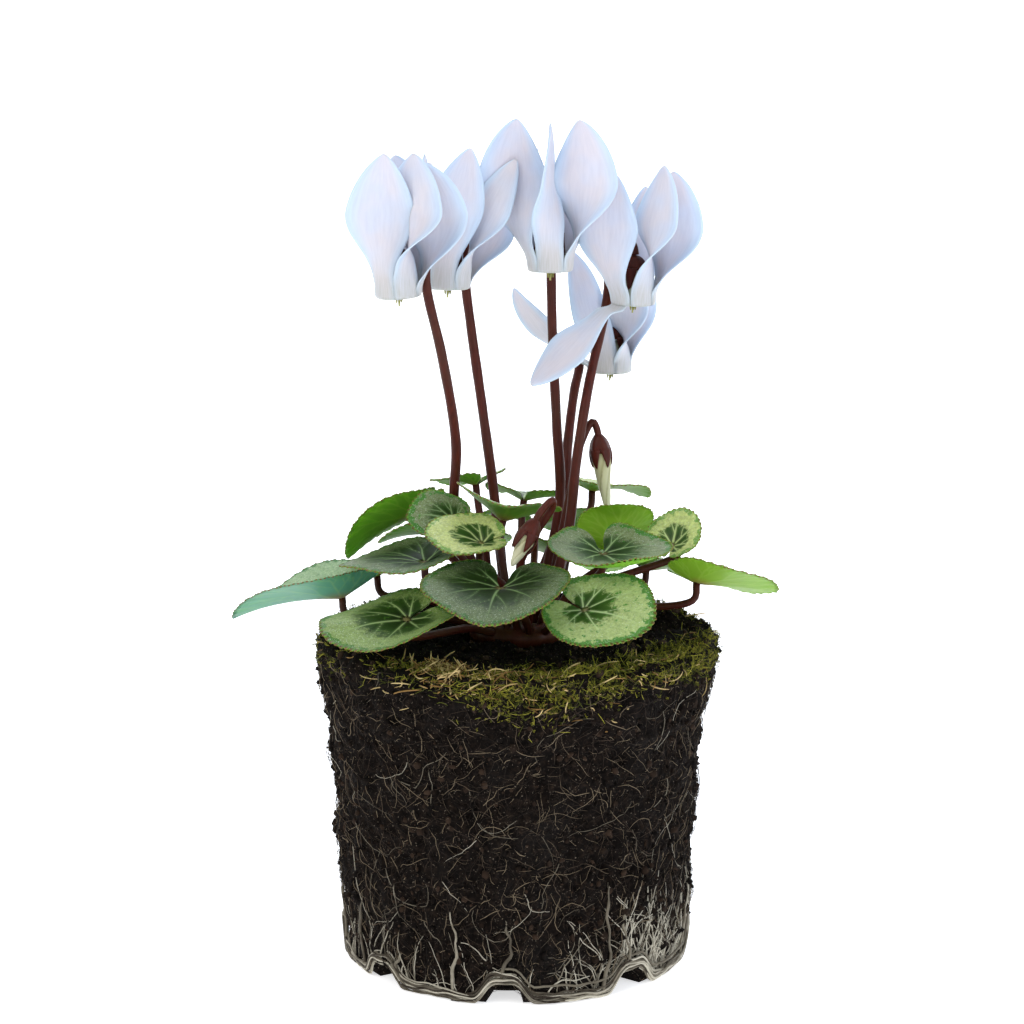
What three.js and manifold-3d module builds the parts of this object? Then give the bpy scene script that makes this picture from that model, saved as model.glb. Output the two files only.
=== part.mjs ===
// A white miniature cyclamen, lifted out of its pot: the compost ball that kept the pot's shape,
// the roots that ran round its wall, the half-buried tuber, the leaf stalks and leaves, and the
// nodding flowers and buds on their hooked stems.
// Millimetres, +Z up. The origin is the centre of the compost ball's flat bottom.
import * as THREE from "three";
import { mergeVertices } from "three/addons/utils/BufferGeometryUtils.js";
import Module from "manifold-3d";

const wasm = await Module();
wasm.setup();

// ---- Driving dimensions -------------------------------------------------------------------

const GAP = 0.35; // clear space between neighbouring pieces

const BALL = {
  height: 80,
  bottomRadius: 41.3,
  ledgeHeight: 60.5, // where the pot's collar began
  ledgeRadius: 45.3,
  collarRadius: 46.8,
  topRadius: 49,
  sides: 30,
  bottomBevel: [1.4, 1.6], // in and up
  wallHeights: [9, 20, 31, 42, 52, 60.5, 63.7, 71, 77], // where the wall's rings lie
  rimBevel: 2.2,
  topRings: [[38, 0.6], [25, 0.8]], // radius, and height over the rim
  lump: 0.7, // how far the top heaves
  roughness: 0.55, // how far the crumbly wall wanders
};
const FEET = {
  count: 8, // arched notches where the pot's feet stood
  firstAngle: -49,
  halfWidth: 4.4,
  height: 5.2,
  depth: 8,
};

const TUBER = { centre: [1, 0, 74.5], radius: 13.6, halfHeight: 7.6, sides: 12 };
const CROWN = { inner: 7.6, outer: 12.4, height: 4.8, sunk: 3 }; // collar of stalk bases on the tuber

const ROOTS = {
  count: 16,
  matRadius: 0.9,
  matSteps: 56,
  strandRadius: 0.55,
  tipRadius: 0.35,
  strandSteps: 5,
  height: 1.6, // of the mat's middle over the ground
  archRise: 5.4, // more over a notch
  archSpread: 7.5, // the arch's half width in degrees
  climb: { mean: 15, spread: 8, extra: 7, denseAt: -40 }, // highest round the angle denseAt
};

const LEAF = {
  thickness: 0.8,
  centreOffset: 0.36, // the blade's round outline lies this far ahead of its stalk, in half widths
  tooth: 0.022,
  rays: 18, // spokes; the toothed edge has twice as many points
  ring: 0.62, // the inner ring's share of the way to the edge
};
const LEAF_STALK = { radius: 0.95, taper: 0.2, neck: 3.5, arch: 0.55, leastArch: 3.2, sides: 5, steps: 4 };

const PETAL = {
  thickness: 0.7,
  across: 4,
  stations: [0, 0.24, 0.44, 0.64, 1], // shares of its length
  baseHalfWidth: 2.8,
  widening: [0.14, 0.58], // the shares between which it widens
  root: [-0.5, 0.2], // its foot, out from the mouth's edge and up
  hollow: [-0.3, 0.14], // across it, at its foot and at its tip, in half widths
  twistSpan: [0.04, 0.62], // the shares between which it twists
};
const TUBE = { mouthRadius: 5.1, topRadius: 3, height: 8.2, sides: 8 };
const FLOWER_STALK = { baseRadius: 1.3, topRadius: 1.1, sides: 6, steps: 14 };
const CALYX = { radius: 3, height: 2.8 };
// The hook over the flower: radius from its axis and height over its mouth.
const HOOK = [[8.2, 1], [8.6, 9.5], [6.8, 13.6], [3.6, 14.9], [0.9, 13.6], [0, 11.2]];
const BUD_STALK = { baseRadius: 1.05, topRadius: 0.85, sides: 6, steps: 11, cupDepth: 3.7 };

// Leaves: where the stalk meets the blade, then in degrees the heading of the tip (0 is +X, 90 is
// +Y), the tip's dip and the roll that lifts the blade's left side; then the half width, the
// half angle of the notch, and how much the blade cups, folds along its rib, lifts its left side
// and waves, all in half widths.
const leaf = (name, at, aim, size, notch, shape) => ({ name: `leaf_${name}`, at, aim, size, notch, shape });
const LEAVES = [
  // low tier, over the rim of the compost
  leaf("low_1", [15.5, -37, 94.2], [-38, 4, 27], 13, 12, [0.9, 0, 0, 0.04]),
  leaf("low_2", [43.5, -8, 94.6], [-4, 10, -21], 13.5, 14, [0.4, 0.2, 0, 0.05]),
  leaf("low_3", [33, 24, 91], [38, 14, 0], 16, 12, [1, 0.1, 0, 0.06]),
  leaf("low_4", [13, 39, 90], [76, 18, 4], 15.5, 16, [1, 0.05, 0, 0.05]),
  leaf("low_5", [-14, 39, 91], [110, 16, -4], 15, 12, [0.8, 0.1, 0, 0.06]),
  leaf("low_6", [-35, 21, 90], [150, 14, 0], 15, 14, [1, 0, 0.05, 0.05]),
  leaf("low_7", [-42, -8, 91], [184, 12, 8], 18, 14, [0.8, 0.3, 0, 0.05]),
  leaf("low_8", [-25, -35, 91.5], [-150, 9, -22], 15, 12, [0.9, 0, 0.4, 0.05]),
  // middle tier
  leaf("mid_1", [-3.6, -33, 98.5], [-100, 7, 0], 17, 28, [0.75, 0.1, 0, 0.03]),
  leaf("mid_2", [20.5, -18, 103.5], [-76, 13, 0], 14.5, 22, [1.2, 0, 0, 0.03, 1.7]),
  leaf("mid_3", [37.5, -8, 103.3], [64, -50, 0], 7, 8, [1, 0.1, 0, 0.05]),
  leaf("mid_4", [24, -2.4, 103.5], [-80, -52, 0], 9.5, 14, [1, 0.1, 0, 0.05]),
  leaf("mid_5", [5, 29, 101.5], [82, 16, 0], 14, 18, [1, 0.1, 0, 0.06]),
  leaf("mid_6", [-18.5, 27, 99.5], [126, 16, 0], 13.5, 14, [0.9, 0.05, 0, 0.06]),
  leaf("mid_7", [-24.5, 4, 109], [172, 32, 13], 14, 12, [0.7, 0.1, 0.1, 0.05]),
  leaf("mid_8", [-21.5, -21, 102], [180, 4, -4], 13.5, 6, [1, 0, 0, 0.04]),
  // top tier, over the heart of the plant
  leaf("top_1", [-8, -23, 107], [188, -6, -20], 9.5, 8, [1.5, 0.1, 0, 0.04]),
  leaf("top_2", [-15, -11.5, 110.3], [200, -8, -40], 8, 10, [0.9, 0, 0, 0.04]),
  leaf("top_3", [-3, -8.5, 110], [-86, -18, -14], 12.5, 18, [1, 0.3, 0, 0.04]),
  leaf("top_4", [2, 18, 110], [84, 10, 6], 10.5, 16, [1, 0.1, 0, 0.06]),
  leaf("top_5", [19, 20, 112], [24, 8, -6], 11, 14, [1, 0, 0, 0.06]),
  leaf("top_6", [-10, 15, 114.5], [122, 12, 0], 9.5, 12, [1, 0.1, 0, 0.05]),
];

// Flowers: the centre of the mouth, the lean of the flower's axis as X and Y over Z, the angle in
// plan to which the stem's hook goes, the stem's foot and the points that it passes, and the
// petals. A petal has its angle in plan, its length, its half width, the angle from the axis at
// which it leaves the mouth and that at its tip, its sideways sway and its twist, in degrees.
const FLOWERS = [
  {
    name: "flower_1",
    mouth: [-27.2, -22, 165.4],
    lean: [-0.06, -0.05],
    hook: 40,
    stem: [[-4.2, -2.6], [-7, -2.8, 90], [-14.6, -2.5, 109], [-14.4, -6, 128], [-17.5, -13, 150]],
    petals: [
      [-132, 33, 8, 8, -9, 6, -50],
      [-62, 32.5, 8.6, 9, -8, 8, -122],
      [-2, 31, 8.2, 30, -22, -2, -84],
      [58, 31.5, 7.4, 18, -6, 8, -30],
      [150, 30, 6.5, 6, -8, 0, -80],
    ],
  },
  {
    name: "flower_2",
    mouth: [-16.3, -4, 165.4],
    lean: [0.02, 0],
    hook: 60,
    stem: [[-3, 3.4], [-5.2, 4.5, 112], [-8, 4.5, 133.5], [-11, 3.8, 155.5]],
    petals: [
      [-103, 33.5, 6.8, 6, -2, 13, -28],
      [-34, 32.5, 5, 12, 24, 14, -104],
      [38, 25, 7, 42, -10, 0, -50],
      [112, 31, 7, 16, -6, 8, -60],
      [178, 29, 6.4, 14, -14, 0, -80],
    ],
  },
  {
    name: "flower_3",
    mouth: [8.1, -2, 169.3],
    lean: [0, 0],
    hook: 88,
    stem: [[3.2, 3.4], [10.6, 6, 111], [9.9, 6.6, 130], [8.8, 6.6, 152]],
    petals: [
      [-92, 34.5, 7.4, 8, 0, 0, -80],
      [-18, 35.5, 8, 20, -12, 0, -98],
      [54, 35, 7.4, 28, 0, 0, -60],
      [118, 28, 7, 14, -6, 0, -60],
      [-162, 36, 8.4, 24, -12, 0, -74],
    ],
  },
  {
    name: "flower_4",
    mouth: [28.2, 7, 160.5],
    lean: [0.03, -0.04],
    hook: 136,
    stem: [[4.8, -2.6], [12.6, -3.2, 106], [14.4, -2, 122], [17.4, 3, 140]],
    petals: [
      [-62, 33.5, 6.6, 12, -4, 6, -108],
      [-4, 32, 7.4, 22, -8, 0, -84],
      [70, 27, 6.4, 8, 0, 0, -60],
      [-138, 32, 7.4, 30.5, -20, 0, -46],
      [-150, 30, 5.8, 132, 126, 0, 24],
    ],
  },
  {
    name: "flower_5",
    mouth: [23.5, 28, 141],
    lean: [0, 0],
    hook: 156,
    stem: [[0.2, 5.6], [11.4, 11, 108], [12.8, 17, 124], [14.6, 26, 136]],
    petals: [
      [-46, 27, 6, 10, -8, -4, -120],
      [20, 28, 5.8, 10, -2, 0, -80],
      [98, 28, 6.6, 8, 0, -6, -60],
      [176, 28.5, 5.4, 64, 24, 0, -40],
      [-108, 31, 5.4, 8, 0, -18, -56],
    ],
  },
];

// Buds: the stem's foot and the points that it passes up to its hook, where the calyx starts, which
// way the bud points, and its length and radius.
const BUDS = [
  {
    name: "bud_1", // the ripe one that hangs straight down
    stem: [[5.6, 0.8], [12.6, 2, 112], [16, 3.4, 127], [18.6, 3.8, 131.6], [19.8, 3.8, 129]],
    calyx: [20, 3.8, 127.6],
    aim: [0.13, 0, -1],
    length: 15.5,
    radius: 2.5,
  },
  {
    name: "bud_2", // the young one that nods at the front
    stem: [
      [1.6, -4.6],
      [3.4, -7, 88],
      [4.2, -17, 95],
      [0.8, -24.5, 101.5],
      [4.6, -26, 110],
      [8.4, -27.4, 116.4],
      [8.3, -28.7, 118.2],
      [5.9, -29.6, 116],
    ],
    calyx: [4.2, -30, 113.2],
    aim: [-0.46, -0.2, -0.86],
    length: 7.5,
    radius: 2.4,
  },
];

// ---- Small helpers ------------------------------------------------------------------------

const radians = THREE.MathUtils.degToRad;
const smoothstep = THREE.MathUtils.smoothstep;
const vec = (point) => new THREE.Vector3(...point);

// The same draw from -1 to 1 each time for the same two numbers.
function wander(a, b) {
  const wave = Math.sin(a * 127.1 + b * 311.7) * 43758.5453;
  return 2 * (wave - Math.floor(wave)) - 1;
}

function surface(name, color, roughness) {
  return new THREE.MeshStandardMaterial({ name, color, roughness, metalness: 0 });
}

const MATERIALS = {
  compost: surface("compost", 0x1e1713, 0.98),
  root: surface("root", 0xb9ab8e, 0.8),
  tuber: surface("tuber", 0x5a3f2b, 0.9),
  stalk: surface("stalk", 0x5c2a22, 0.5),
  leaf: surface("leaf", 0x4f7a3c, 0.55),
  petal: surface("petal", 0xe9ecf6, 0.6),
  bud: surface("bud", 0xd8d3ae, 0.55),
};

// A geometry from points and triangles, turned so that its faces look out.
function geometryOf(points, triangles) {
  let volume = 0;
  for (const [a, b, c] of triangles)
    volume += points[a].dot(new THREE.Vector3().crossVectors(points[b], points[c]));
  const index = triangles.flatMap(([a, b, c]) => (volume < 0 ? [a, c, b] : [a, b, c]));
  return new THREE.BufferGeometry().setFromPoints(points).setIndex(index);
}

// A closed solid from rings of points, each with as many points as the first; ends are capped.
function lofted(rings) {
  const sides = rings[0].length;
  const points = rings.flat();
  const triangles = [];
  for (let i = 0; i + 1 < rings.length; i++)
    for (let j = 0; j < sides; j++) {
      const [a, b] = [i * sides + j, i * sides + ((j + 1) % sides)];
      triangles.push([a, b, a + sides], [b, b + sides, a + sides]);
    }
  const centre = (ring) =>
    ring.reduce((sum, p) => sum.add(p), new THREE.Vector3()).divideScalar(sides);
  const last = (rings.length - 1) * sides;
  points.push(centre(rings[0]), centre(rings[rings.length - 1]));
  for (let j = 0; j < sides; j++) {
    const next = (j + 1) % sides;
    triangles.push([next, j, points.length - 2], [last + j, last + next, points.length - 1]);
  }
  return geometryOf(points, triangles);
}

// A round stalk along a smooth curve through points, with a radius for each share of its length.
function stalk(points, radiusAt, sides, steps) {
  const curve = new THREE.CatmullRomCurve3(points, false, "centripetal");
  const { normals, binormals } = curve.computeFrenetFrames(steps, false);
  const rings = normals.map((normal, i) => {
    const centre = curve.getPointAt(i / steps);
    const radius = radiusAt(i / steps);
    return Array.from({ length: sides }, (_, j) => {
      const turn = (2 * Math.PI * j) / sides;
      return centre
        .clone()
        .addScaledVector(normal, radius * Math.cos(turn))
        .addScaledVector(binormals[i], radius * Math.sin(turn));
    });
  });
  return lofted(rings);
}

// A thin closed solid: a sheet of triangles, the same sheet set off along each point's normal by
// the thickness, and a wall along its free edges.
function thickened(points, normals, triangles, thickness) {
  const count = points.length;
  const lower = points.map((p, i) => p.clone().addScaledVector(normals[i], -thickness));
  const used = new Set(triangles.flatMap(([a, b, c]) => [`${a},${b}`, `${b},${c}`, `${c},${a}`]));
  const all = [...triangles, ...triangles.map(([a, b, c]) => [a + count, c + count, b + count])];
  for (const edge of used) {
    const [a, b] = edge.split(",").map(Number);
    if (!used.has(`${b},${a}`)) all.push([b, a, a + count], [b, a + count, b + count]);
  }
  return geometryOf([...points, ...lower], all);
}

function toSolid(geometry) {
  const bare = new THREE.BufferGeometry();
  bare.setAttribute("position", geometry.getAttribute("position"));
  bare.setIndex(geometry.index);
  const merged = mergeVertices(bare, 1e-4);
  const vertProperties = merged.attributes.position.array;
  const triVerts = new Uint32Array(merged.index.array);
  return new wasm.Manifold(new wasm.Mesh({ numProp: 3, vertProperties, triVerts }));
}

function toGeometry(solid) {
  const { vertProperties, triVerts, numProp } = solid.getMesh();
  const positions = new Float32Array((vertProperties.length / numProp) * 3);
  for (let i = 0; i < positions.length / 3; i++)
    positions.set(vertProperties.subarray(i * numProp, i * numProp + 3), i * 3);
  const attribute = new THREE.BufferAttribute(positions, 3);
  const index = new THREE.BufferAttribute(triVerts, 1);
  return new THREE.BufferGeometry().setAttribute("position", attribute).setIndex(index);
}

function joined(geometries) {
  return geometries.map(toSolid).reduce((sum, solid) => sum.add(solid));
}

function named(name, geometry, material) {
  const mesh = new THREE.Mesh(geometry, material);
  mesh.name = name;
  return mesh;
}

// ---- Compost ball -------------------------------------------------------------------------

// The wall's radius at a height, grown by a margin, before it is roughened.
function wallRadius(z) {
  const { bottomRadius, ledgeHeight, ledgeRadius, collarRadius, topRadius, height } = BALL;
  const slope = THREE.MathUtils.lerp(bottomRadius, ledgeRadius, z / ledgeHeight);
  const ledgeTop = ledgeHeight + 3;
  const collar = THREE.MathUtils.mapLinear(z, ledgeTop, height, collarRadius, topRadius);
  return THREE.MathUtils.lerp(slope, collar, smoothstep(z, ledgeHeight, ledgeTop));
}

function ballRadius(angle, z) {
  const rough =
    Math.sin(3 * angle + 0.19 * z) +
    0.7 * Math.sin(7 * angle - 0.31 * z + 1) +
    0.5 * Math.sin(11 * angle + 0.47 * z + 2);
  return wallRadius(z) + (BALL.roughness * rough) / 2.2;
}

function ballGeometry() {
  const { height, sides, bottomBevel, wallHeights, rimBevel, topRings, lump } = BALL;
  const ring = (radiusAt, heightAt) =>
    Array.from({ length: sides }, (_, j) => {
      const angle = (2 * Math.PI * j) / sides;
      const radius = radiusAt(angle);
      return new THREE.Vector3(radius * Math.cos(angle), radius * Math.sin(angle), heightAt(j));
    });
  const [bevelIn, bevelUp] = bottomBevel;
  const wall = (z) => ring((angle) => ballRadius(angle, z), () => z);
  return lofted([
    ring((angle) => ballRadius(angle, 0) - bevelIn, () => 0),
    ...[bevelUp, ...wallHeights].map(wall),
    ring((angle) => ballRadius(angle, height) - rimBevel, (j) => height + lump * wander(j, 1)),
    ...topRings.map(([radius, rise], i) =>
      ring(() => radius, (j) => height + rise + lump * wander(j, 2 + i)),
    ),
  ]);
}

function footAngle(i) {
  return radians(FEET.firstAngle + (360 / FEET.count) * i);
}

// One arched notch at the bottom edge, where a foot of the pot stood.
function footNotch(i) {
  const { halfWidth, height, depth } = FEET;
  const [springing, shoulder, below, beyond] = [height * 0.4, halfWidth * 0.8, 1, 6];
  const arch = new THREE.Shape();
  arch.moveTo(-halfWidth, -below);
  arch.lineTo(halfWidth, -below);
  arch.lineTo(halfWidth, springing);
  arch.quadraticCurveTo(shoulder, height, 0, height);
  arch.quadraticCurveTo(-shoulder, height, -halfWidth, springing);
  const geometry = new THREE.ExtrudeGeometry(arch, {
    depth: depth + beyond,
    bevelEnabled: false,
    curveSegments: 3,
  });
  geometry.deleteAttribute("normal").deleteAttribute("uv");
  const merged = mergeVertices(geometry, 1e-4);
  merged.rotateX(Math.PI / 2).rotateZ(Math.PI / 2); // along +X, arch up
  merged.translate(BALL.bottomRadius - depth, 0, 0);
  return merged.rotateZ(footAngle(i));
}

function tuberProfile(margin) {
  const [, , z] = TUBER.centre;
  const points = [];
  for (let i = 0; i <= 8; i++) {
    const turn = -Math.PI / 2 + (Math.PI * i) / 8;
    const x = i % 8 === 0 ? 0 : (TUBER.radius + margin) * Math.cos(turn) ** 0.8;
    points.push(new THREE.Vector2(x, z + (TUBER.halfHeight + margin) * Math.sin(turn)));
  }
  return points;
}

function tuberGeometry(margin) {
  const lathe = new THREE.LatheGeometry(tuberProfile(margin), TUBER.sides).rotateX(Math.PI / 2);
  return lathe.translate(TUBER.centre[0], TUBER.centre[1], 0);
}

// The pocket that the tuber sits in: its own shape below its waist and a plain hole above.
function tuberPocket() {
  const { centre, radius, sides } = TUBER;
  const rise = 14;
  const well = new THREE.CylinderGeometry(radius + GAP, radius + GAP, rise, sides);
  well.rotateX(Math.PI / 2).rotateZ(Math.PI / 2);
  well.translate(centre[0], centre[1], centre[2] + rise / 2);
  return joined([tuberGeometry(GAP), well]);
}

function compostBall() {
  let solid = toSolid(ballGeometry()).subtract(tuberPocket());
  for (let i = 0; i < FEET.count; i++) solid = solid.subtract(toSolid(footNotch(i)));
  return named("compost_ball", toGeometry(solid), MATERIALS.compost);
}

// ---- Roots --------------------------------------------------------------------------------

function onWall(angle, z, lift) {
  const radius = ballRadius(angle, z) + lift;
  return new THREE.Vector3(radius * Math.cos(angle), radius * Math.sin(angle), z);
}

// The height of the root mat that ran round the pot's bottom edge, arched over each pot foot.
function matHeight(angle) {
  let rise = 0;
  for (let i = 0; i < FEET.count; i++) {
    const apart = Math.atan2(Math.sin(angle - footAngle(i)), Math.cos(angle - footAngle(i)));
    rise += Math.exp(-((apart / radians(ROOTS.archSpread)) ** 4));
  }
  return ROOTS.height + ROOTS.archRise * rise;
}

function rootMat() {
  const { matSteps, matRadius } = ROOTS;
  const sides = 4;
  const points = [];
  for (let i = 0; i < matSteps; i++) {
    const angle = (2 * Math.PI * i) / matSteps;
    const centre = onWall(angle, matHeight(angle), GAP + matRadius);
    const out = new THREE.Vector3(Math.cos(angle), Math.sin(angle), 0);
    for (let j = 0; j < sides; j++) {
      const turn = (2 * Math.PI * j) / sides;
      const point = centre.clone().addScaledVector(out, matRadius * Math.cos(turn));
      point.z += matRadius * (1.2 + 0.3 * wander(i, 5)) * Math.sin(turn);
      points.push(point);
    }
  }
  const at = (i, j) => (i % matSteps) * sides + (j % sides);
  const triangles = [];
  for (let i = 0; i < matSteps; i++)
    for (let j = 0; j < sides; j++) {
      triangles.push([at(i, j), at(i, j + 1), at(i + 1, j)]);
      triangles.push([at(i, j + 1), at(i + 1, j + 1), at(i + 1, j)]);
    }
  return geometryOf(points, triangles);
}

// A root that climbs from the mat: longer or shorter by the draw, with a lazy bend.
function rootStrand(k) {
  const { count, strandRadius, tipRadius, matRadius, strandSteps: steps, climb } = ROOTS;
  const angle = radians((360 / count) * (k + 0.35 * wander(k, 1)));
  const low = matHeight(angle);
  const dense = Math.cos(angle - radians(climb.denseAt)) > 0.7;
  const tall = climb.mean + climb.spread * wander(k, 2) + (dense ? climb.extra : 0);
  const points = [];
  for (let i = 0; i <= steps; i++) {
    const share = i / steps;
    const free = Math.min(3 * share, 1); // it leaves the mat over its first third
    const bend = 0.05 * wander(k, 3) * share + 0.03 * Math.sin(5 * share + k);
    const lift = GAP + THREE.MathUtils.lerp(matRadius, strandRadius, free);
    points.push(onWall(angle + bend * free, low + tall * share, lift));
  }
  const radiusAt = (s) => THREE.MathUtils.lerp(strandRadius, tipRadius, s);
  return stalk(points, radiusAt, 4, steps);
}

function roots() {
  const strands = Array.from({ length: ROOTS.count }, (_, k) => rootStrand(k));
  return named("roots", toGeometry(joined([rootMat(), ...strands])), MATERIALS.root);
}

// ---- Leaves -------------------------------------------------------------------------------

// How far the edge lies from the stalk at an angle from the tip, in half widths.
function leafEdge(leaf, angle) {
  const c = LEAF.centreOffset;
  const round = c * Math.cos(angle) + Math.sqrt(1 - (c * Math.sin(angle)) ** 2);
  const tip = 0.1 * Math.exp(-((angle / 0.3) ** 2));
  const angular = 0.025 * Math.cos(5 * angle + leaf.phase);
  const lobe = 1 - 0.2 * smoothstep(Math.abs(angle), 2.4, Math.PI);
  return (round + tip + angular) * lobe;
}

// The blade's height over its flat plane, for a place given in half widths.
function leafHeight(leaf, angle, reach) {
  const [cup, fold, lift, wave, curl = 0] = leaf.shape;
  const side = reach * Math.sin(angle);
  const funnel = cup * (0.34 * reach - 0.2 * reach * reach);
  const lobes = 0.16 * reach * ((1 - Math.cos(angle)) / 2) ** 1.5;
  const folded = fold * (Math.sqrt(side * side + 0.02) - Math.sqrt(0.02));
  const lifted = lift * side * Math.abs(side);
  const waved = wave * reach * reach * Math.sin(3 * angle + leaf.phase);
  const curled = (curl * reach ** 4) / 16;
  return funnel + lobes + folded + lifted + waved + curled;
}

function bladeGeometry(leaf) {
  const { rays, ring, tooth, thickness } = LEAF;
  const open = Math.PI - radians(leaf.notch);
  const points = [new THREE.Vector3()];
  const addRing = (count, share, toothed) => {
    for (let j = 0; j <= count; j++) {
      const angle = -open + (2 * open * j) / count;
      const teeth = toothed ? 1 + tooth * (j % 2 ? 1 : -1) : 1;
      const reach = leafEdge(leaf, angle) * share * teeth;
      const [x, y] = [reach * Math.cos(angle), reach * Math.sin(angle)];
      const point = new THREE.Vector3(x, y, leafHeight(leaf, angle, reach));
      points.push(point.multiplyScalar(leaf.size));
    }
  };
  addRing(rays, ring, false);
  addRing(rays * 2, 1, true);
  const triangles = [];
  for (let j = 0; j < rays; j++) {
    const [inner, edge] = [1 + j, 2 + rays + 2 * j];
    triangles.push([0, inner, inner + 1], [inner, edge, edge + 1]);
    triangles.push([inner, edge + 1, inner + 1], [inner + 1, edge + 1, edge + 2]);
  }
  const up = points.map(() => new THREE.Vector3(0, 0, 1));
  return thickened(points, up, triangles, thickness);
}

function leafTurn(leaf) {
  const [heading, dip, roll] = leaf.aim.map(radians);
  return new THREE.Euler(roll, dip, heading, "ZYX");
}

function leafBlade(leaf) {
  const mesh = named(leaf.name, bladeGeometry(leaf), MATERIALS.leaf);
  mesh.position.set(...leaf.at);
  mesh.rotation.copy(leafTurn(leaf));
  return mesh;
}

// A leaf's stalk: up out of the crown, over in an arch, and into the blade's underside.
function leafStalk(leaf, slotAngle) {
  const { radius, taper, neck: neckLength, arch, leastArch, sides, steps } = LEAF_STALK;
  const normal = new THREE.Vector3(0, 0, 1).applyEuler(leafTurn(leaf));
  const end = vec(leaf.at).addScaledVector(normal, -(LEAF.thickness + GAP));
  const neck = end.clone().addScaledVector(normal, -neckLength);
  const foot = crownPoint((CROWN.inner + CROWN.outer) / 2, slotAngle);
  const bend = foot.clone().lerp(neck, 0.3);
  bend.z = foot.z + Math.max(arch * (neck.z - foot.z), leastArch);
  const radiusAt = (s) => radius * (1.12 - taper * s);
  return stalk([foot, bend, neck, end], radiusAt, sides, steps);
}

function crownPoint(radius, angle) {
  const [x, y, z] = TUBER.centre;
  return new THREE.Vector3(
    x + radius * Math.cos(angle),
    y + radius * Math.sin(angle),
    z + TUBER.halfHeight - 0.6,
  );
}

function crownCollar() {
  const { inner, outer, height, sunk } = CROWN;
  const [x, y, z] = TUBER.centre;
  const low = z + TUBER.halfHeight - sunk;
  const high = low + height;
  const profile = [
    [inner, low],
    [outer, low],
    [outer, high - 1.8],
    [outer - 1.4, high - 0.4],
    [inner + 1.2, high],
    [inner, high - 1],
    [inner, low],
  ].map(([r, h]) => new THREE.Vector2(r, h));
  return new THREE.LatheGeometry(profile, 14).rotateX(Math.PI / 2).translate(x, y, 0);
}

// All leaf stalks and the collar that they spring from. Feet stand evenly round the collar, in
// the order of their leaves.
function leafStalks() {
  const [x, y] = TUBER.centre;
  const bearing = (leaf) => Math.atan2(leaf.at[1] - y, leaf.at[0] - x);
  const ordered = [...LEAVES].sort((a, b) => bearing(a) - bearing(b));
  const step = (2 * Math.PI) / ordered.length;
  const shift =
    ordered.reduce((sum, leaf, i) => sum + bearing(leaf) - i * step, 0) / ordered.length;
  const stalks = ordered.map((leaf, i) => leafStalk(leaf, shift + i * step));
  const solid = joined([crownCollar(), ...stalks]).subtract(toSolid(tuberGeometry(GAP)));
  return named("leaf_stalks", toGeometry(solid), MATERIALS.stalk);
}

// ---- Flowers ------------------------------------------------------------------------------

// The flower's own axes: across, away and up, for a slightly leaning flower.
function flowerAxes(flower) {
  const up = new THREE.Vector3(flower.lean[0], flower.lean[1], 1).normalize();
  const across = new THREE.Vector3(1, 0, 0).addScaledVector(up, -up.x).normalize();
  return { across, away: new THREE.Vector3().crossVectors(up, across), up };
}

function flowerPoint(flower, angle, radius, height) {
  const { across, away, up } = flowerAxes(flower);
  return vec(flower.mouth)
    .addScaledVector(across, radius * Math.cos(angle))
    .addScaledVector(away, radius * Math.sin(angle))
    .addScaledVector(up, height);
}

// A petal's half width along it: narrow at the mouth, widest past the middle, blunt at the tip.
function petalHalfWidth(share, halfWidth) {
  const { baseHalfWidth, widening } = PETAL;
  const [, widest] = widening;
  const grown = THREE.MathUtils.lerp(baseHalfWidth, halfWidth, smoothstep(share, ...widening));
  if (share <= widest) return grown;
  return halfWidth * (1 - ((share - widest) / (1 - widest)) ** 1.25) ** 0.85;
}

function petalGeometry(flower, [angle, length, halfWidth, leave, finish, sway, twist]) {
  const { across, stations, thickness, root, hollow: hollows, twistSpan } = PETAL;
  const { across: east, away: north, up } = flowerAxes(flower);
  const turn = radians(angle);
  const out = east.clone().multiplyScalar(Math.cos(turn)).addScaledVector(north, Math.sin(turn));
  const side = new THREE.Vector3().crossVectors(up, out);
  const spine = vec(flower.mouth).addScaledVector(out, TUBE.mouthRadius + root[0]);
  spine.addScaledVector(up, root[1]);
  const last = stations.length - 1;
  const points = [];
  const normals = [];
  stations.forEach((share, i) => {
    const middle = i ? (share + stations[i - 1]) / 2 : 0;
    const slope = radians(THREE.MathUtils.lerp(leave, finish, middle));
    const lean = radians(sway) * smoothstep(middle, 0, 0.3);
    const heading = up.clone().multiplyScalar(Math.cos(slope)).addScaledVector(out, Math.sin(slope));
    heading.multiplyScalar(Math.cos(lean)).addScaledVector(side, Math.sin(lean));
    if (i) spine.addScaledVector(heading, length * (share - stations[i - 1]));
    const normal = new THREE.Vector3().crossVectors(side, heading).normalize();
    const flat = new THREE.Vector3().crossVectors(heading, normal);
    const roll = radians(twist) * smoothstep(share, ...twistSpan);
    const level = flat.multiplyScalar(Math.cos(roll)).addScaledVector(normal, Math.sin(roll));
    const face = new THREE.Vector3().crossVectors(level, heading);
    const half = i === last ? 0 : petalHalfWidth(share, halfWidth);
    const hollow = THREE.MathUtils.lerp(...hollows, share) * half;
    for (let j = 0; j <= (i === last ? 0 : across); j++) {
      const t = i === last ? 0 : (2 * j) / across - 1;
      const point = spine.clone().addScaledVector(level, half * t);
      points.push(point.addScaledVector(face, hollow * t * t));
      normals.push(face);
    }
  });
  const triangles = [];
  for (let i = 0; i < last; i++)
    for (let j = 0; j < across; j++) {
      const a = i * (across + 1) + j;
      const b = a + across + 1;
      if (i === last - 1) triangles.push([a, a + 1, last * (across + 1)]);
      else triangles.push([a, a + 1, b], [a + 1, b + 1, b]);
    }
  return thickened(points, normals, triangles, thickness);
}

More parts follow.
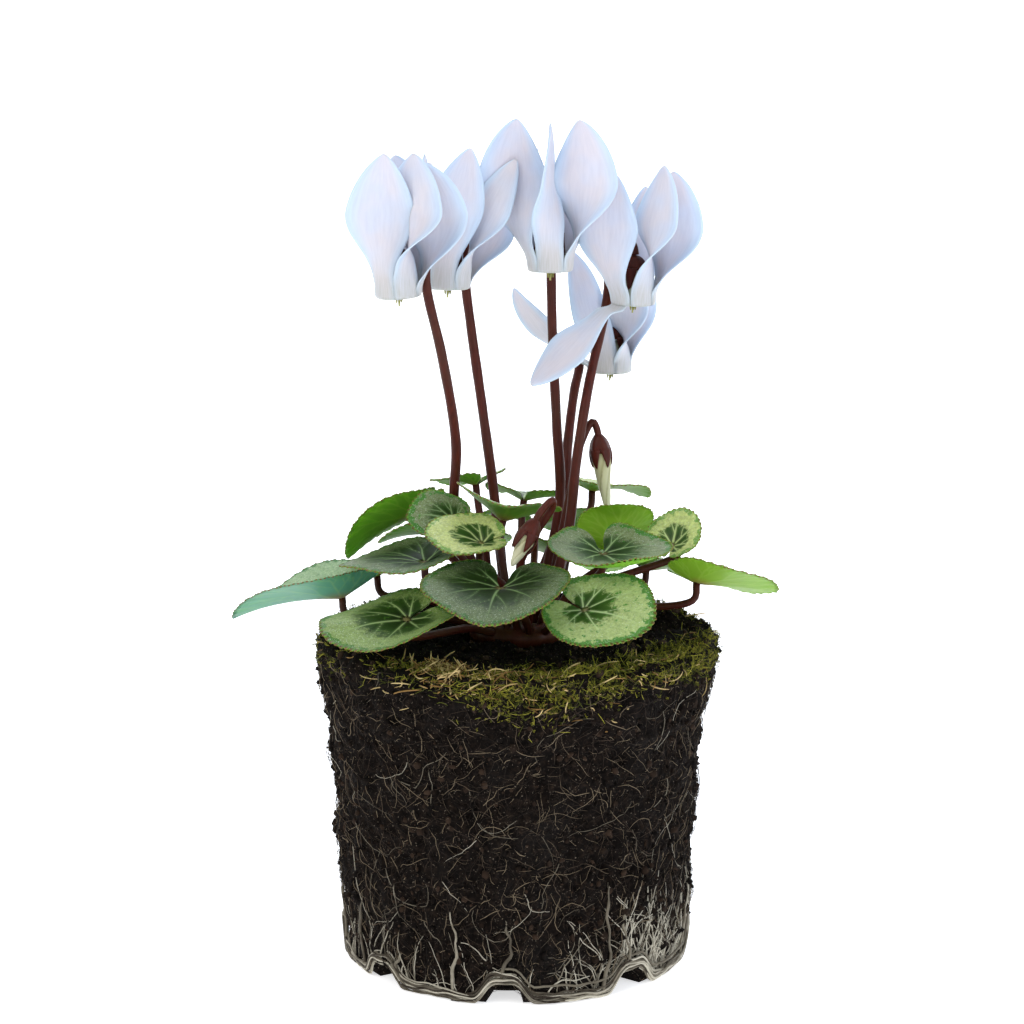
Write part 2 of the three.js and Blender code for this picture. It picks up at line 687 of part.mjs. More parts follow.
// The short tube inside the turned-back petals, open downwards.
function tubeGeometry(flower) {
  const { mouthRadius, topRadius, height, sides } = TUBE;
  const profile = [
    [0, height],
    [topRadius, height - 1],
    [mouthRadius, 0.5],
    [mouthRadius - 0.5, -0.3],
    [topRadius - 1, height - 2.2],
    [0, height - 1.4],
  ].map(([r, h]) => new THREE.Vector2(r, h));
  const lathe = new THREE.LatheGeometry(profile.reverse(), sides).rotateX(Math.PI / 2);
  return placed(lathe, flower);
}

function placed(geometry, flower) {
  const { across, away, up } = flowerAxes(flower);
  const frame = new THREE.Matrix4().makeBasis(across, away, up).setPosition(vec(flower.mouth));
  return geometry.applyMatrix4(frame);
}

function petals(flower) {
  const pieces = flower.petals.map((petal) => petalGeometry(flower, petal));
  const solid = joined([tubeGeometry(flower), ...pieces]).subtract(
    toSolid(flowerStalkGeometry(flower, GAP)),
  );
  return named(`${flower.name}_petals`, toGeometry(solid), MATERIALS.petal);
}

// The calyx cup on top of the tube.
function calyxGeometry(flower, margin) {
  const { radius, height } = CALYX;
  const low = TUBE.height + GAP - margin;
  const high = TUBE.height + GAP + height + margin;
  const profile = [
    [0, low],
    [radius + margin, low],
    [radius * 0.85 + margin, low + height * 0.45],
    [FLOWER_STALK.topRadius + 0.3 + margin, high],
    [0, high + 0.6],
  ].map(([r, h]) => new THREE.Vector2(r, h));
  const lathe = new THREE.LatheGeometry(profile, 8).rotateX(Math.PI / 2);
  return placed(lathe, flower);
}

// A flower's stem: up from the tuber, past the mouth, over in a hook and down into the calyx.
function flowerStalkGeometry(flower, margin) {
  const hook = radians(flower.hook);
  const [foot, ...passes] = flower.stem;
  const bends = HOOK.map(([radius, height]) => flowerPoint(flower, hook, radius, height));
  const points = [tuberTop(foot), ...passes.map(vec), ...bends];
  const { baseRadius, topRadius, sides, steps } = FLOWER_STALK;
  const radiusAt = (s) => THREE.MathUtils.lerp(baseRadius, topRadius, s) + margin;
  return toGeometry(
    joined([stalk(points, radiusAt, sides, steps), calyxGeometry(flower, margin)]),
  );
}

// A point just clear of the tuber's top, for a stem's foot.
function tuberTop([x, y]) {
  const [cx, cy, cz] = TUBER.centre;
  const reach = Math.min(Math.hypot(x, y) / TUBER.radius, 1);
  const dome = TUBER.halfHeight * Math.sqrt(1 - reach * reach);
  return new THREE.Vector3(cx + x, cy + y, cz + dome - 0.5);
}

function flowerStalk(flower) {
  const solid = toSolid(flowerStalkGeometry(flower, 0)).subtract(toSolid(tuberGeometry(GAP)));
  return named(`${flower.name}_stalk`, toGeometry(solid), MATERIALS.stalk);
}

// ---- Buds ---------------------------------------------------------------------------------

function turnedProfile(profile, start, direction, sides) {
  const lathe = new THREE.LatheGeometry(
    profile.map(([r, h]) => new THREE.Vector2(r, h)),
    sides,
  );
  const turn = new THREE.Quaternion().setFromUnitVectors(new THREE.Vector3(0, 1, 0), direction);
  return lathe.applyQuaternion(turn).translate(start.x, start.y, start.z);
}

function budStalk(bud) {
  const direction = vec(bud.aim).normalize();
  const start = vec(bud.calyx);
  const [foot, ...passes] = bud.stem;
  const points = [tuberTop(foot), ...passes.map(vec), start];
  const { baseRadius, topRadius, sides, steps, cupDepth } = BUD_STALK;
  const stem = stalk(points, (s) => THREE.MathUtils.lerp(baseRadius, topRadius, s), sides, steps);
  const cup = [
    [0, -1.2],
    [0.9, -0.8],
    [bud.radius * 0.9, 1.4],
    [bud.radius, cupDepth - 0.3],
    [bud.radius * 0.8, cupDepth - 0.1],
    [0, cupDepth],
  ];
  const calyx = turnedProfile(cup, start, direction, 8);
  const solid = joined([stem, calyx]).subtract(toSolid(tuberGeometry(GAP)));
  return named(`${bud.name}_stalk`, toGeometry(solid), MATERIALS.stalk);
}

function budFlower(bud) {
  const { radius, length } = bud;
  const profile = [
    [0, 0],
    [radius * 0.8, 0],
    [radius * 0.86, length * 0.12],
    [radius * 0.66, length * 0.4],
    [radius * 0.5, length * 0.65],
    [radius * 0.3, length * 0.9],
    [0, length],
  ];
  const direction = vec(bud.aim).normalize();
  const start = vec(bud.calyx).addScaledVector(direction, BUD_STALK.cupDepth + GAP);
  const twisted = turnedProfile(profile, start, direction, 8);
  return named(`${bud.name}_petals`, twisted, MATERIALS.bud);
}

// ---- The plant ----------------------------------------------------------------------------

LEAVES.forEach((leaf, i) => {
  leaf.phase = 2.1 * i; // each blade waves at a place of its own
});

const plant = new THREE.Group();
plant.add(compostBall());
plant.add(roots());
plant.add(named("tuber", tuberGeometry(0), MATERIALS.tuber));
plant.add(leafStalks());
for (const leaf of LEAVES) plant.add(leafBlade(leaf));
for (const flower of FLOWERS) plant.add(petals(flower), flowerStalk(flower));
for (const bud of BUDS) plant.add(budStalk(bud), budFlower(bud));

export default plant;
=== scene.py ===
# A white miniature cyclamen out of its pot: compost ball, roots, tuber, leaves, flowers and buds.
import math
import random

import bpy
import numpy as np
from mathutils import Euler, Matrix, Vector, noise


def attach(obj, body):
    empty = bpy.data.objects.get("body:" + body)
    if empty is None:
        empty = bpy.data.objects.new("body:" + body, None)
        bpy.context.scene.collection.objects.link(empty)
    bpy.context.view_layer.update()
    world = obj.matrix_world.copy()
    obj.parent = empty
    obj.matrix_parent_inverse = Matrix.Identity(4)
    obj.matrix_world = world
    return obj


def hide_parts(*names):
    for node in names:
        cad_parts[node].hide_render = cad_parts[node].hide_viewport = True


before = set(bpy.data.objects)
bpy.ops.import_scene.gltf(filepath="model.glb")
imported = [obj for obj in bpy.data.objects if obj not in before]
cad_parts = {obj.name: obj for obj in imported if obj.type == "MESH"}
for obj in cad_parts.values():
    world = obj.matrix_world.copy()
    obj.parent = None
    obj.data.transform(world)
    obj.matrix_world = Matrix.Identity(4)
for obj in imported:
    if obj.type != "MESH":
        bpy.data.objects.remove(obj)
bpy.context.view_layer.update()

mm = 0.001  # every length below is in millimetres until it goes into a mesh
gap = 0.35  # what the frame leaves between neighbours


def linear(hexColour):
    parts = [int(hexColour[i:i + 2], 16) / 255 for i in (1, 3, 5)]
    return [c / 12.92 if c < 0.04045 else ((c + 0.055) / 1.055) ** 2.4 for c in parts] + [1]


eased = {"interpolation_type": "SMOOTHSTEP"}
inColour = {"data_type": "RGBA"}


def addNode(tree, kind, settings, inputs):
    node = tree.nodes.new("ShaderNode" + kind)
    for key, value in settings.items():
        setattr(node, key, value)
    for key, value in inputs.items():
        if isinstance(value, str):
            value = linear(value)
        if isinstance(value, bpy.types.Node):  # a node stands for the first output that it shows
            value = next(socket for socket in value.outputs if socket.enabled)
        if isinstance(value, bpy.types.NodeSocket):
            tree.links.new(value, node.inputs[key])
        else:
            node.inputs[key].default_value = value
    return node


def newMaterial(name):
    material = bpy.data.materials.new(name)
    material.use_nodes = True
    material.node_tree.nodes.clear()
    return material, material.node_tree


def giveSurface(tree, settings):
    skin = addNode(tree, "BsdfPrincipled", {}, settings)
    addNode(tree, "OutputMaterial", {}, {"Surface": skin})


def layWashes(tree, colour, washes):  # what it goes by, where it starts and is full, how strong, tint, blend
    for source, low, high, most, tint, blend in washes:
        mask = addNode(tree, "MapRange", blend, {0: source, 1: low, 2: high, 4: most})
        colour = addNode(tree, "Mix", inColour, {0: mask, 6: colour, 7: tint})
    return colour


def wander(a, b):  # the same draw from -1 to 1 each time for the same two numbers
    wave = math.sin(a * 127.1 + b * 311.7) * 43758.5453
    return 2 * (wave - math.floor(wave)) - 1


def smoothstep(value, low, high):
    t = np.clip((value - low) / (high - low), 0, 1)
    return t * t * (3 - 2 * t)


def between(low, high, share):
    return low + (high - low) * share


def shortWay(angle, other):  # the turn from one angle to another, the short way round
    return np.arctan2(np.sin(angle - other), np.cos(angle - other))


def unit(vectors):
    return vectors / np.maximum(np.linalg.norm(vectors, axis=-1, keepdims=True), 1e-9)


def polar(reach, turn, height):  # points at a distance from the upright axis, an angle and a height
    return np.stack(np.broadcast_arrays(reach * np.cos(turn), reach * np.sin(turn), height), -1)


def gridFaces(rows, columns, closed, start=0):
    i, j = np.meshgrid(np.arange(rows - 1), np.arange(columns if closed else columns - 1), indexing="ij")
    a = start + i * columns + j
    b = start + i * columns + (j + 1) % columns
    return np.stack([a, b, b + columns, a + columns], -1).reshape(-1, 4).tolist()


def ringFaces(rings, sides):  # rings closed by a point at either end; these two come last
    faces = gridFaces(rings, sides, True)
    low, last = rings * sides, (rings - 1) * sides
    for j in range(sides):
        after = (j + 1) % sides
        faces += [[after, j, low], [last + j, last + after, low + 1]]
    return faces


def joined(points, faces, morePoints, moreFaces):
    faces = faces + [[v + len(points) for v in face] for face in moreFaces]
    return np.concatenate([points, morePoints]), faces


def addPiece(name, points, faces, materials, replaces=(), sides=None, values=None):
    mesh = bpy.data.meshes.new(name)
    mesh.from_pydata((np.asarray(points, float) * mm).tolist(), [], faces)
    for material in materials:
        mesh.materials.append(material)
    if sides is not None:
        mesh.polygons.foreach_set("material_index", sides)
    for key, data in (values or {}).items():
        spread = np.asarray(data, np.float32).ravel()
        mesh.attributes.new(key, "FLOAT", "POINT").data.foreach_set("value", spread)
    mesh.polygons.foreach_set("use_smooth", np.ones(len(mesh.polygons), bool))
    mesh.update()
    piece = bpy.data.objects.new(name, mesh)
    bpy.context.scene.collection.objects.link(piece)
    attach(piece, "root")
    if replaces:
        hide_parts(*replaces)


def tubes(lines, radii, sides):  # closed round strands, one for each line of points
    lines = np.asarray(lines, float)
    radii = np.broadcast_to(np.asarray(radii, float), lines.shape[:2])
    count, steps, _ = lines.shape
    along = unit(np.gradient(lines, axis=1))
    across = np.zeros_like(lines)
    helper = np.where(np.abs(along[:, 0, 2:3]) < 0.8, [[0.0, 0, 1]], [[1.0, 0, 0]])
    across[:, 0] = unit(np.cross(along[:, 0], helper))
    for i in range(1, steps):
        kept = across[:, i - 1]
        kept = kept - along[:, i] * np.sum(kept * along[:, i], -1, keepdims=True)
        across[:, i] = unit(kept)
    over = np.cross(along, across)
    turn = 2 * np.pi * np.arange(sides) / sides
    ring = np.cos(turn)[:, None] * across[:, :, None] + np.sin(turn)[:, None] * over[:, :, None]
    points = lines[:, :, None] + radii[:, :, None, None] * ring
    block = steps * sides
    first = np.array(gridFaces(steps, sides, True))
    faces = (first[None] + block * np.arange(count)[:, None, None]).reshape(-1, 4).tolist()
    for foot in range(0, count * block, block):
        faces.append([foot + j for j in reversed(range(sides))])
        faces.append([foot + block - sides + j for j in range(sides)])
    return points.reshape(-1, 3), faces


def curveThrough(points, steps):  # a centripetal spline through points, at even steps of its length
    points = np.asarray(points, float)
    ends = [2 * points[0] - points[1], *points, 2 * points[-1] - points[-2]]
    finely = 24  # points between two knots, before they are evened out

    def blend(low, high, t, a, b):
        return (high - t) / (high - low) * a + (t - low) / (high - low) * b

    path = []
    for four in zip(ends, ends[1:], ends[2:], ends[3:]):
        knots = np.cumsum([0] + [np.linalg.norm(b - a) ** 0.5 for a, b in zip(four, four[1:])])
        for t in np.linspace(knots[1], knots[2], finely, endpoint=False):
            three = [blend(knots[i], knots[i + 1], t, *four[i:i + 2]) for i in range(3)]
            two = [blend(knots[i], knots[i + 2], t, *three[i:i + 2]) for i in range(2)]
            path.append(blend(knots[1], knots[2], t, *two))
    path = np.array(path + [points[-1]])
    run = np.concatenate([[0], np.cumsum(np.linalg.norm(np.diff(path, axis=0), axis=1))])
    even = np.linspace(0, run[-1], steps)
    return np.stack([np.interp(even, run, path[:, k]) for k in range(3)], -1)


def turned(profile, sides, wobble):  # a surface of revolution; the ends of its profile lie on the axis
    angle = 2 * np.pi * np.arange(sides) / sides
    rings = [polar(radius * wobble(angle, height), angle, height) for radius, height in profile[1:-1]]
    poles = [[0, 0, profile[0][1]], [0, 0, profile[-1][1]]]
    return np.concatenate([*rings, poles]), ringFaces(len(rings), sides)


def smoothed(profile, steps):
    path = curveThrough([(r, 0, z) for r, z in profile], steps)
    return [(abs(r), z) for r, _, z in path]


camera = {"place": (-1, -650, 234), "pitch": 10.8, "lens": 95.94, "sensor": 36}


def placeCamera():
    data = bpy.data.cameras.new("camera")
    data.lens, data.sensor_width, data.sensor_fit = camera["lens"], camera["sensor"], "HORIZONTAL"
    data.clip_start, data.clip_end = 0.05, 20
    rig = bpy.data.objects.new("camera", data)
    rig.location = [v * mm for v in camera["place"]]
    rig.rotation_euler = (math.radians(90 - camera["pitch"]), 0, 0)
    bpy.context.scene.collection.objects.link(rig)
    bpy.context.scene.camera = rig


studio = {
    "sky": "#edf1f8", "skyStrength": 0.57,
    "lamps": [  # name, place, aim, size, power and colour: broad cloud light from the front left and above
        ("key", (-700, -900, 1100), (0, 0, 110), 900, 9.5, "#fffaf4"),
        ("fill", (900, -700, 600), (0, 0, 110), 900, 5.5, "#eef4ff"),
        ("back", (200, 800, 900), (0, 0, 150), 700, 6, "#e6f0ff"),
    ],
    "floorReach": 1600, "halfWidth": 2000, "bendAt": 500, "bendRadius": 500, "bendSteps": 24, "wallTop": 1500,
    "paper": ("#f3f4f6", "#f7f8fa"), "paperGlow": 0.62,
}


def paperMaterial():
    # matt background paper: white and lit through from behind, so that only the soft shadow shows
    paper, tree = newMaterial("background paper")
    grain = addNode(tree, "TexNoise", {}, {"Scale": 0.9 / mm, "Detail": 2})
    low, high = studio["paper"]
    tone = addNode(tree, "Mix", inColour, {0: grain, 6: low, 7: high})
    giveSurface(tree, {"Base Color": tone, "Roughness": 0.95, "Specular IOR Level": 0.1,
                       "Emission Color": "#ffffff", "Emission Strength": studio["paperGlow"]})
    return paper


def placeStudio():
    world = bpy.data.worlds.new("cloud light")
    world.use_nodes = True
    tree = world.node_tree
    tree.nodes.clear()
    glow = addNode(tree, "Background", {}, {0: studio["sky"], 1: studio["skyStrength"]})
    addNode(tree, "OutputWorld", {}, {0: glow})
    bpy.context.scene.world = world
    bpy.context.scene.view_settings.view_transform = "Standard"
    for name, place, aim, size, power, colour in studio["lamps"]:
        data = bpy.data.lights.new(name, "AREA")
        data.size, data.energy, data.color = size * mm, power, linear(colour)[:3]
        lamp = bpy.data.objects.new(name, data)
        lamp.location = [v * mm for v in place]
        aimed = Vector(aim) - Vector(place)
        lamp.rotation_euler = aimed.to_track_quat("-Z", "Y").to_euler()
        bpy.context.scene.collection.objects.link(lamp)
    bend, radius, steps, wide = (studio[key] for key in ("bendAt", "bendRadius", "bendSteps", "halfWidth"))
    section = [(-studio["floorReach"], 0), (bend, 0)]
    for turn in (math.pi / 2 * i / steps for i in range(1, steps + 1)):
        section.append((bend + radius * math.sin(turn), radius * (1 - math.cos(turn))))
    section.append((bend + radius, studio["wallTop"]))
    points = [(x * mm, y * mm, z * mm) for y, z in section for x in (-wide, wide)]
    mesh = bpy.data.meshes.new("paper sweep")
    mesh.from_pydata(points, [], gridFaces(len(section), 2, False))
    mesh.polygons.foreach_set("use_smooth", np.ones(len(mesh.polygons), bool))
    mesh.materials.append(paperMaterial())
    floor = bpy.data.objects.new("paperSweep", mesh)
    bpy.context.scene.collection.objects.link(floor)


placeCamera()
placeStudio()
print("camera, lamps and paper sweep placed")


ball = {
    "height": 80, "bottomRadius": 41.3, "ledgeHeight": 60.5, "ledgeRise": 3, "ledgeRadius": 45.3,
    "collarRadius": 46.8, "topRadius": 49, "middleRadius": 45, "roughness": 0.55, "bottomBevel": 1.4,
    "wallStart": 1.2, "wallEnd": 1.5, "rimBevel": 1.2, "crownLift": 0.3, "wellDepth": 8,
    "around": 460, "wallRows": 120, "topRings": 46, "bottomRings": 8,
}
feet = {"count": 8, "firstAngle": -49, "halfWidth": 4.4, "height": 5.2, "depth": 8}
tuber = {"centre": (1, 0, 74.5), "radius": 13.6, "halfHeight": 7.6, "sides": 56, "rings": 26}


def footAngles():
    return np.radians(feet["firstAngle"] + 360 / feet["count"] * np.arange(feet["count"]))


def wallRadius(z):
    slope = ball["bottomRadius"] + (ball["ledgeRadius"] - ball["bottomRadius"]) * z / ball["ledgeHeight"]
    ledgeTop = ball["ledgeHeight"] + ball["ledgeRise"]
    collar = ball["collarRadius"] + (ball["topRadius"] - ball["collarRadius"]) * (z - ledgeTop) / (
        ball["height"] - ledgeTop)
    return slope + (collar - slope) * smoothstep(z, ball["ledgeHeight"], ledgeTop)


def ballRadius(angle, z):
    rough = (np.sin(3 * angle + 0.19 * z) + 0.7 * np.sin(7 * angle - 0.31 * z + 1)
             + 0.5 * np.sin(11 * angle + 0.47 * z + 2))
    return wallRadius(z) + ball["roughness"] * rough / 2.2


def notchDepth(angle, z):  # how far the arched notches of the pot's feet reach in
    depth = 0
    for foot in footAngles():
        apart = shortWay(angle, foot) * ball["bottomRadius"]
        arch = feet["height"] * np.sqrt(np.clip(1 - (apart / feet["halfWidth"]) ** 2, 0, 1))
        depth = depth + feet["depth"] * smoothstep(arch - z, 0, 0.9)
    return depth


def crumble(point):  # peat: soft lumps, crumbs and small dark hollows
    p = Vector(point)
    lumps = noise.fractal(p / 8, 0.6, 2.1, 3)
    crumbs = noise.fractal(p / 2.4 + Vector((7, 3, 1)), 0.5, 2.2, 3)
    hollows = max(0, noise.noise(p / 4.5 + Vector((1, 9, 4))) - 0.28)
    return 0.9 * lumps + 0.75 * crumbs - 3.4 * hollows


def fillRamp(ramp, stops):  # a new ramp has its first and its last stop already
    elements = ramp.color_ramp.elements
    elements[0].position, elements[1].position = stops[0][0], stops[-1][0]
    for position, _ in stops[1:-1]:
        elements.new(position)
    for element, (_, colour) in zip(elements, stops):
        element.color = linear(colour)


def peatMaterial():
    # moist sphagnum peat, milled: matt black-brown crumb with brown, grey and a few pale specks
    peat, tree = newMaterial("milled peat")
    place = addNode(tree, "TexCoord", {}, {}).outputs["Object"]
    crumb = addNode(tree, "TexNoise", {}, {"Vector": place, "Scale": 1 / (1.6 * mm), "Detail": 5,
                                           "Roughness": 0.7})
    patch, speck = (addNode(tree, "TexNoise", {}, {"Vector": place, "Scale": 1 / (size * mm), "Detail": 2})
                    for size in (14, 0.5))
    tone = addNode(tree, "Attribute", {"attribute_name": "tone"}, {}).outputs["Fac"]
    ramp = addNode(tree, "ValToRGB", {}, {0: crumb})
    fillRamp(ramp, [(0.3, "#060504"), (0.5, "#110d0b"), (0.64, "#211a15"), (0.8, "#3e3228")])
    colour = layWashes(tree, ramp, [
        (patch, 0.5, 0.75, 0.35, "#232120", {}),
        (tone, 0.55, 1, 0.7, "#42342a", {}),
        (speck, 0.66, 0.72, 0.6, "#857a6c", {}),
    ])
    bump = addNode(tree, "Bump", {}, {"Strength": 0.9, "Distance": 0.5 * mm, "Height": crumb})
    giveSurface(tree, {"Base Color": colour, "Normal": bump, "Roughness": 0.92, "Specular IOR Level": 0.06})
    return peat


def strandMaterial(name, dark, mid, pale, roughness):
    # dry plant fibre: every strand has a tone of its own and streaks of a few millimetres along it
    fibre, tree = newMaterial(name)
    tone = addNode(tree, "Attribute", {"attribute_name": "tone"}, {}).outputs["Fac"]
    place = addNode(tree, "TexCoord", {}, {}).outputs["Object"]
    streak = addNode(tree, "TexNoise", {}, {"Vector": place, "Scale": 1 / (3 * mm), "Detail": 2})
    drift = addNode(tree, "Math", {"operation": "MULTIPLY_ADD"}, {0: streak, 1: 0.5, 2: tone})
    ramp = addNode(tree, "ValToRGB", {}, {0: drift})
    fillRamp(ramp, [(0.2, dark), (0.7, mid), (1, pale)])
    giveSurface(tree, {"Base Color": ramp, "Roughness": roughness, "Specular IOR Level": 0.15})
    return fibre


def makeBall():
    around = ball["around"]
    angle = 2 * np.pi * np.arange(around) / around
    rows = []  # distance from the axis, height, and what crumbles: nothing, the wall or the top
    for k in range(1, ball["bottomRings"] + 1):
        reach = (ballRadius(angle, 0) - ball["bottomBevel"] - notchDepth(angle, 0)) * k / ball["bottomRings"]
        rows.append((reach, np.zeros(around), "bottom"))
    for z in np.linspace(ball["wallStart"], ball["height"] - ball["wallEnd"], ball["wallRows"]):
        rows.append((ballRadius(angle, z) - notchDepth(angle, z), np.full(around, z), "wall"))
    x, y, _ = tuber["centre"]
    for k in range(ball["topRings"]):
        reach = (ball["topRadius"] - ball["rimBevel"]) * (1 - k / ball["topRings"]) ** 0.9
        fromTuber = np.hypot(reach * np.cos(angle) - x, reach * np.sin(angle) - y)
        well = ball["wellDepth"] * (1 - smoothstep(fromTuber, tuber["radius"] - 2, tuber["radius"] + 1.5))
        rows.append((np.full(around, reach), ball["height"] + ball["crownLift"] - well, "top"))
    points = []
    for reach, height, part in rows:
        for out, base in zip(polar(1, angle, 0), polar(reach, angle, height)):
            if part == "wall":
                base = base + out * crumble(base) * min(1, 0.3 + base[2] / 6)
            elif part == "top":
                base = base + np.array([0, 0, 1.3 * crumble(base)])
            points.append(base)
    points += [np.zeros(3), np.array([0, 0, ball["height"] - ball["wellDepth"]])]
    addPiece("compostBall", points, ringFaces(len(rows), around), [peat], ["compost_ball"])
    surface = np.array(points[ball["bottomRings"] * around:-2])
    return surface.reshape(-1, around, 3)


peat = peatMaterial()
peatFibre = strandMaterial("peat fibre", "#15110e", "#41362d", "#82745f", 0.85)
ballSurface = makeBall()  # rows of points, from the bottom edge up and in over the top
print("compost ball made")


def onBall(angle, z):  # a point that lies on the crumbled wall
    last = ball["wallRows"] - 1
    row = (z - ball["wallStart"]) / (ball["height"] - ball["wallEnd"] - ball["wallStart"]) * last
    column = np.round(angle / (2 * np.pi) * ball["around"]).astype(int) % ball["around"]
    found = ballSurface[np.round(np.clip(row, 0, last)).astype(int), column]
    return polar(np.hypot(found[..., 0], found[..., 1]), angle, z)


def strandsOnWall(draw, count, pick, steps, bend):  # lazy lines that wander over the wall
    lines = []
    for _ in range(count):
        angle, z, heading, length, lift = pick(draw)
        curl = draw.gauss(0, bend)
        stations = []
        for i in range(steps):
            stations.append((angle, z))
            heading += curl / steps + draw.gauss(0, bend * 0.35)
            angle += math.cos(heading) * length / steps / ball["middleRadius"]
            z += math.sin(heading) * length / steps
        angles, heights = np.array(stations).T
        heights = np.clip(heights, 0.8, ball["height"] - 0.5)
        wall = onBall(angles, heights)
        reach = np.pad(np.hypot(wall[:, 0], wall[:, 1]), 2, "edge")
        reach = np.convolve(reach, np.ones(5) / 5, "valid")  # bridges the smallest hollows
        lines.append(polar(reach + lift * np.sin(np.linspace(0.25, 2.9, steps)), angles, heights))
    return np.array(lines)


crumbs = {"wall": 5200, "top": 1500, "small": 0.22, "large": 1.15, "lowestRow": 6, "bareRings": 18, "seed": 5}
fibres = {
    "count": 6000, "radius": (0.03, 0.09), "length": (2, 13), "height": (2, 79), "lifts": (0.15, 0.3, 1.1),
    "taper": (0.6, 1, 1, 1, 0.9, 0.7, 0.3), "bend": 0.9, "sides": 3, "seed": 6,
}


def makeCrumbs():  # every crumb is an icosahedron pulled out of shape
    draw = random.Random(crumbs["seed"])
    golden = (1 + 5 ** 0.5) / 2
    corners = [(a, b * golden) for a in (-1, 1) for b in (-1, 1)]
    ico = unit(np.array([(a, b, 0) for a, b in corners] + [(0, a, b) for a, b in corners]
                        + [(b, 0, a) for a, b in corners], float))
    near = [[j for j in range(12) if 0.9 < np.linalg.norm(ico[i] - ico[j]) < 1.2] for i in range(12)]
    shell = {tuple(sorted((i, j, k))) for i in range(12) for j in near[i] for k in near[j] if k in near[i]}
    triangles = []
    for a, b, c in sorted(shell):
        out = np.dot(np.cross(ico[b] - ico[a], ico[c] - ico[a]), ico[a]) > 0
        triangles.append((a, b, c) if out else (a, c, b))
    points, faces, tones = [], [], []
    for k in range(crumbs["wall"] + crumbs["top"]):
        size = between(crumbs["small"], crumbs["large"], draw.random() ** 3)
        if k < crumbs["wall"]:
            row = draw.randrange(crumbs["lowestRow"], ball["wallRows"])
        else:
            row = draw.randrange(ball["wallRows"], ball["wallRows"] + ball["topRings"] - crumbs["bareRings"])
        centre = ballSurface[row, draw.randrange(ball["around"])]
        stretch = np.array([draw.uniform(0.6, 1.4) for _ in range(3)]) * size
        lump = ico * stretch * np.array([[draw.uniform(0.75, 1.2)] for _ in range(12)])
        spin = np.array(Euler([draw.uniform(0, 6.3) for _ in range(3)]).to_matrix())
        faces += [[12 * k + i for i in triangle] for triangle in triangles]
        points.append(lump @ spin.T + centre)
        tones += [draw.random()] * 12
    addPiece("peatCrumbs", np.concatenate(points), faces, [peat], values={"tone": tones})


def makeFibres():
    draw = random.Random(fibres["seed"])
    steps = len(fibres["taper"])

    def pick(draw):
        return (draw.uniform(0, 2 * math.pi), draw.uniform(*fibres["height"]), draw.uniform(0, 2 * math.pi),
                draw.uniform(*fibres["length"]), draw.choice(fibres["lifts"]))

    lines = strandsOnWall(draw, fibres["count"], pick, steps, fibres["bend"])
    radii = np.array([[draw.uniform(*fibres["radius"])] for _ in lines]) * fibres["taper"]
    points, faces = tubes(lines, radii, fibres["sides"])
    tones = np.repeat([draw.random() ** 2.4 for _ in lines], steps * fibres["sides"])
    addPiece("peatFibres", points, faces, [peatFibre], values={"tone": tones})


makeCrumbs()
makeFibres()
print("peat crumbs and fibres scattered")


roots = {
    "count": 16, "strandRadius": 0.55, "tipRadius": 0.35, "height": 1.6, "archRise": 5.4, "archSpread": 7.5,
    "mean": 15, "spread": 8, "extra": 7, "denseAt": -40, "thinned": 0.8, "seed": 11,
    "stout": {"tone": (0, 0.5), "steps": 18, "sides": 7},
    "mat": {"threads": 90, "span": (0.5, 2.2), "rise": 0.75, "out": (-0.1, 0.9), "lowest": 0.55,
            "radius": (0.09, 0.34), "endRadius": 0.1, "tone": (-0.1, 0.8), "steps": 80, "sides": 7},
    "fine": {"threads": 230, "gather": (-38, 20), "denseLength": (5, 26), "length": (4, 18), "lift": 0.45,
             "bend": 0.5, "radius": (0.08, 0.27), "tip": 0.35, "tone": (0.35, 1), "steps": 16, "sides": 5},
    "hair": {"threads": 150, "length": (8, 26), "lift": 0.5, "bend": 0.7,
             "radius": (0.05, 0.13), "tip": 0.5, "tone": (0.1, 0.8), "steps": 14, "sides": 4},
}


def matHeight(angle):
    rise = 0
    for foot in footAngles():
        rise = rise + np.exp(-((shortWay(angle, foot) / math.radians(roots["archSpread"])) ** 4))
    return roots["height"] + roots["archRise"] * rise


def climbingRoots():  # the sixteen stout ones of the frame, a little thinner
    lines, radii = [], []
    share = np.linspace(0, 1, roots["stout"]["steps"])
    free = np.minimum(3 * share, 1)
    for k in range(roots["count"]):
        angle = math.radians(360 / roots["count"] * (k + 0.35 * wander(k, 1)))
        dense = math.cos(angle - math.radians(roots["denseAt"])) > 0.7
        tall = roots["mean"] + roots["spread"] * wander(k, 2) + (roots["extra"] if dense else 0)
        bend = 0.05 * wander(k, 3) * share + 0.03 * np.sin(5 * share + k) + 0.006 * np.sin(23 * share + 2 * k)
        turn = angle + bend * free
        z = matHeight(angle) + tall * share
        radius = between(roots["strandRadius"], roots["tipRadius"], share)
        radius = radius * (1 + 0.18 * np.sin(9 * share + k)) * np.where(share > 0.85, 0.6, 1)
        lines.append(polar(ballRadius(turn, z) + gap + radius * 0.9, turn, z))
        radii.append(radius)
    return np.array(lines), roots["thinned"] * np.array(radii)


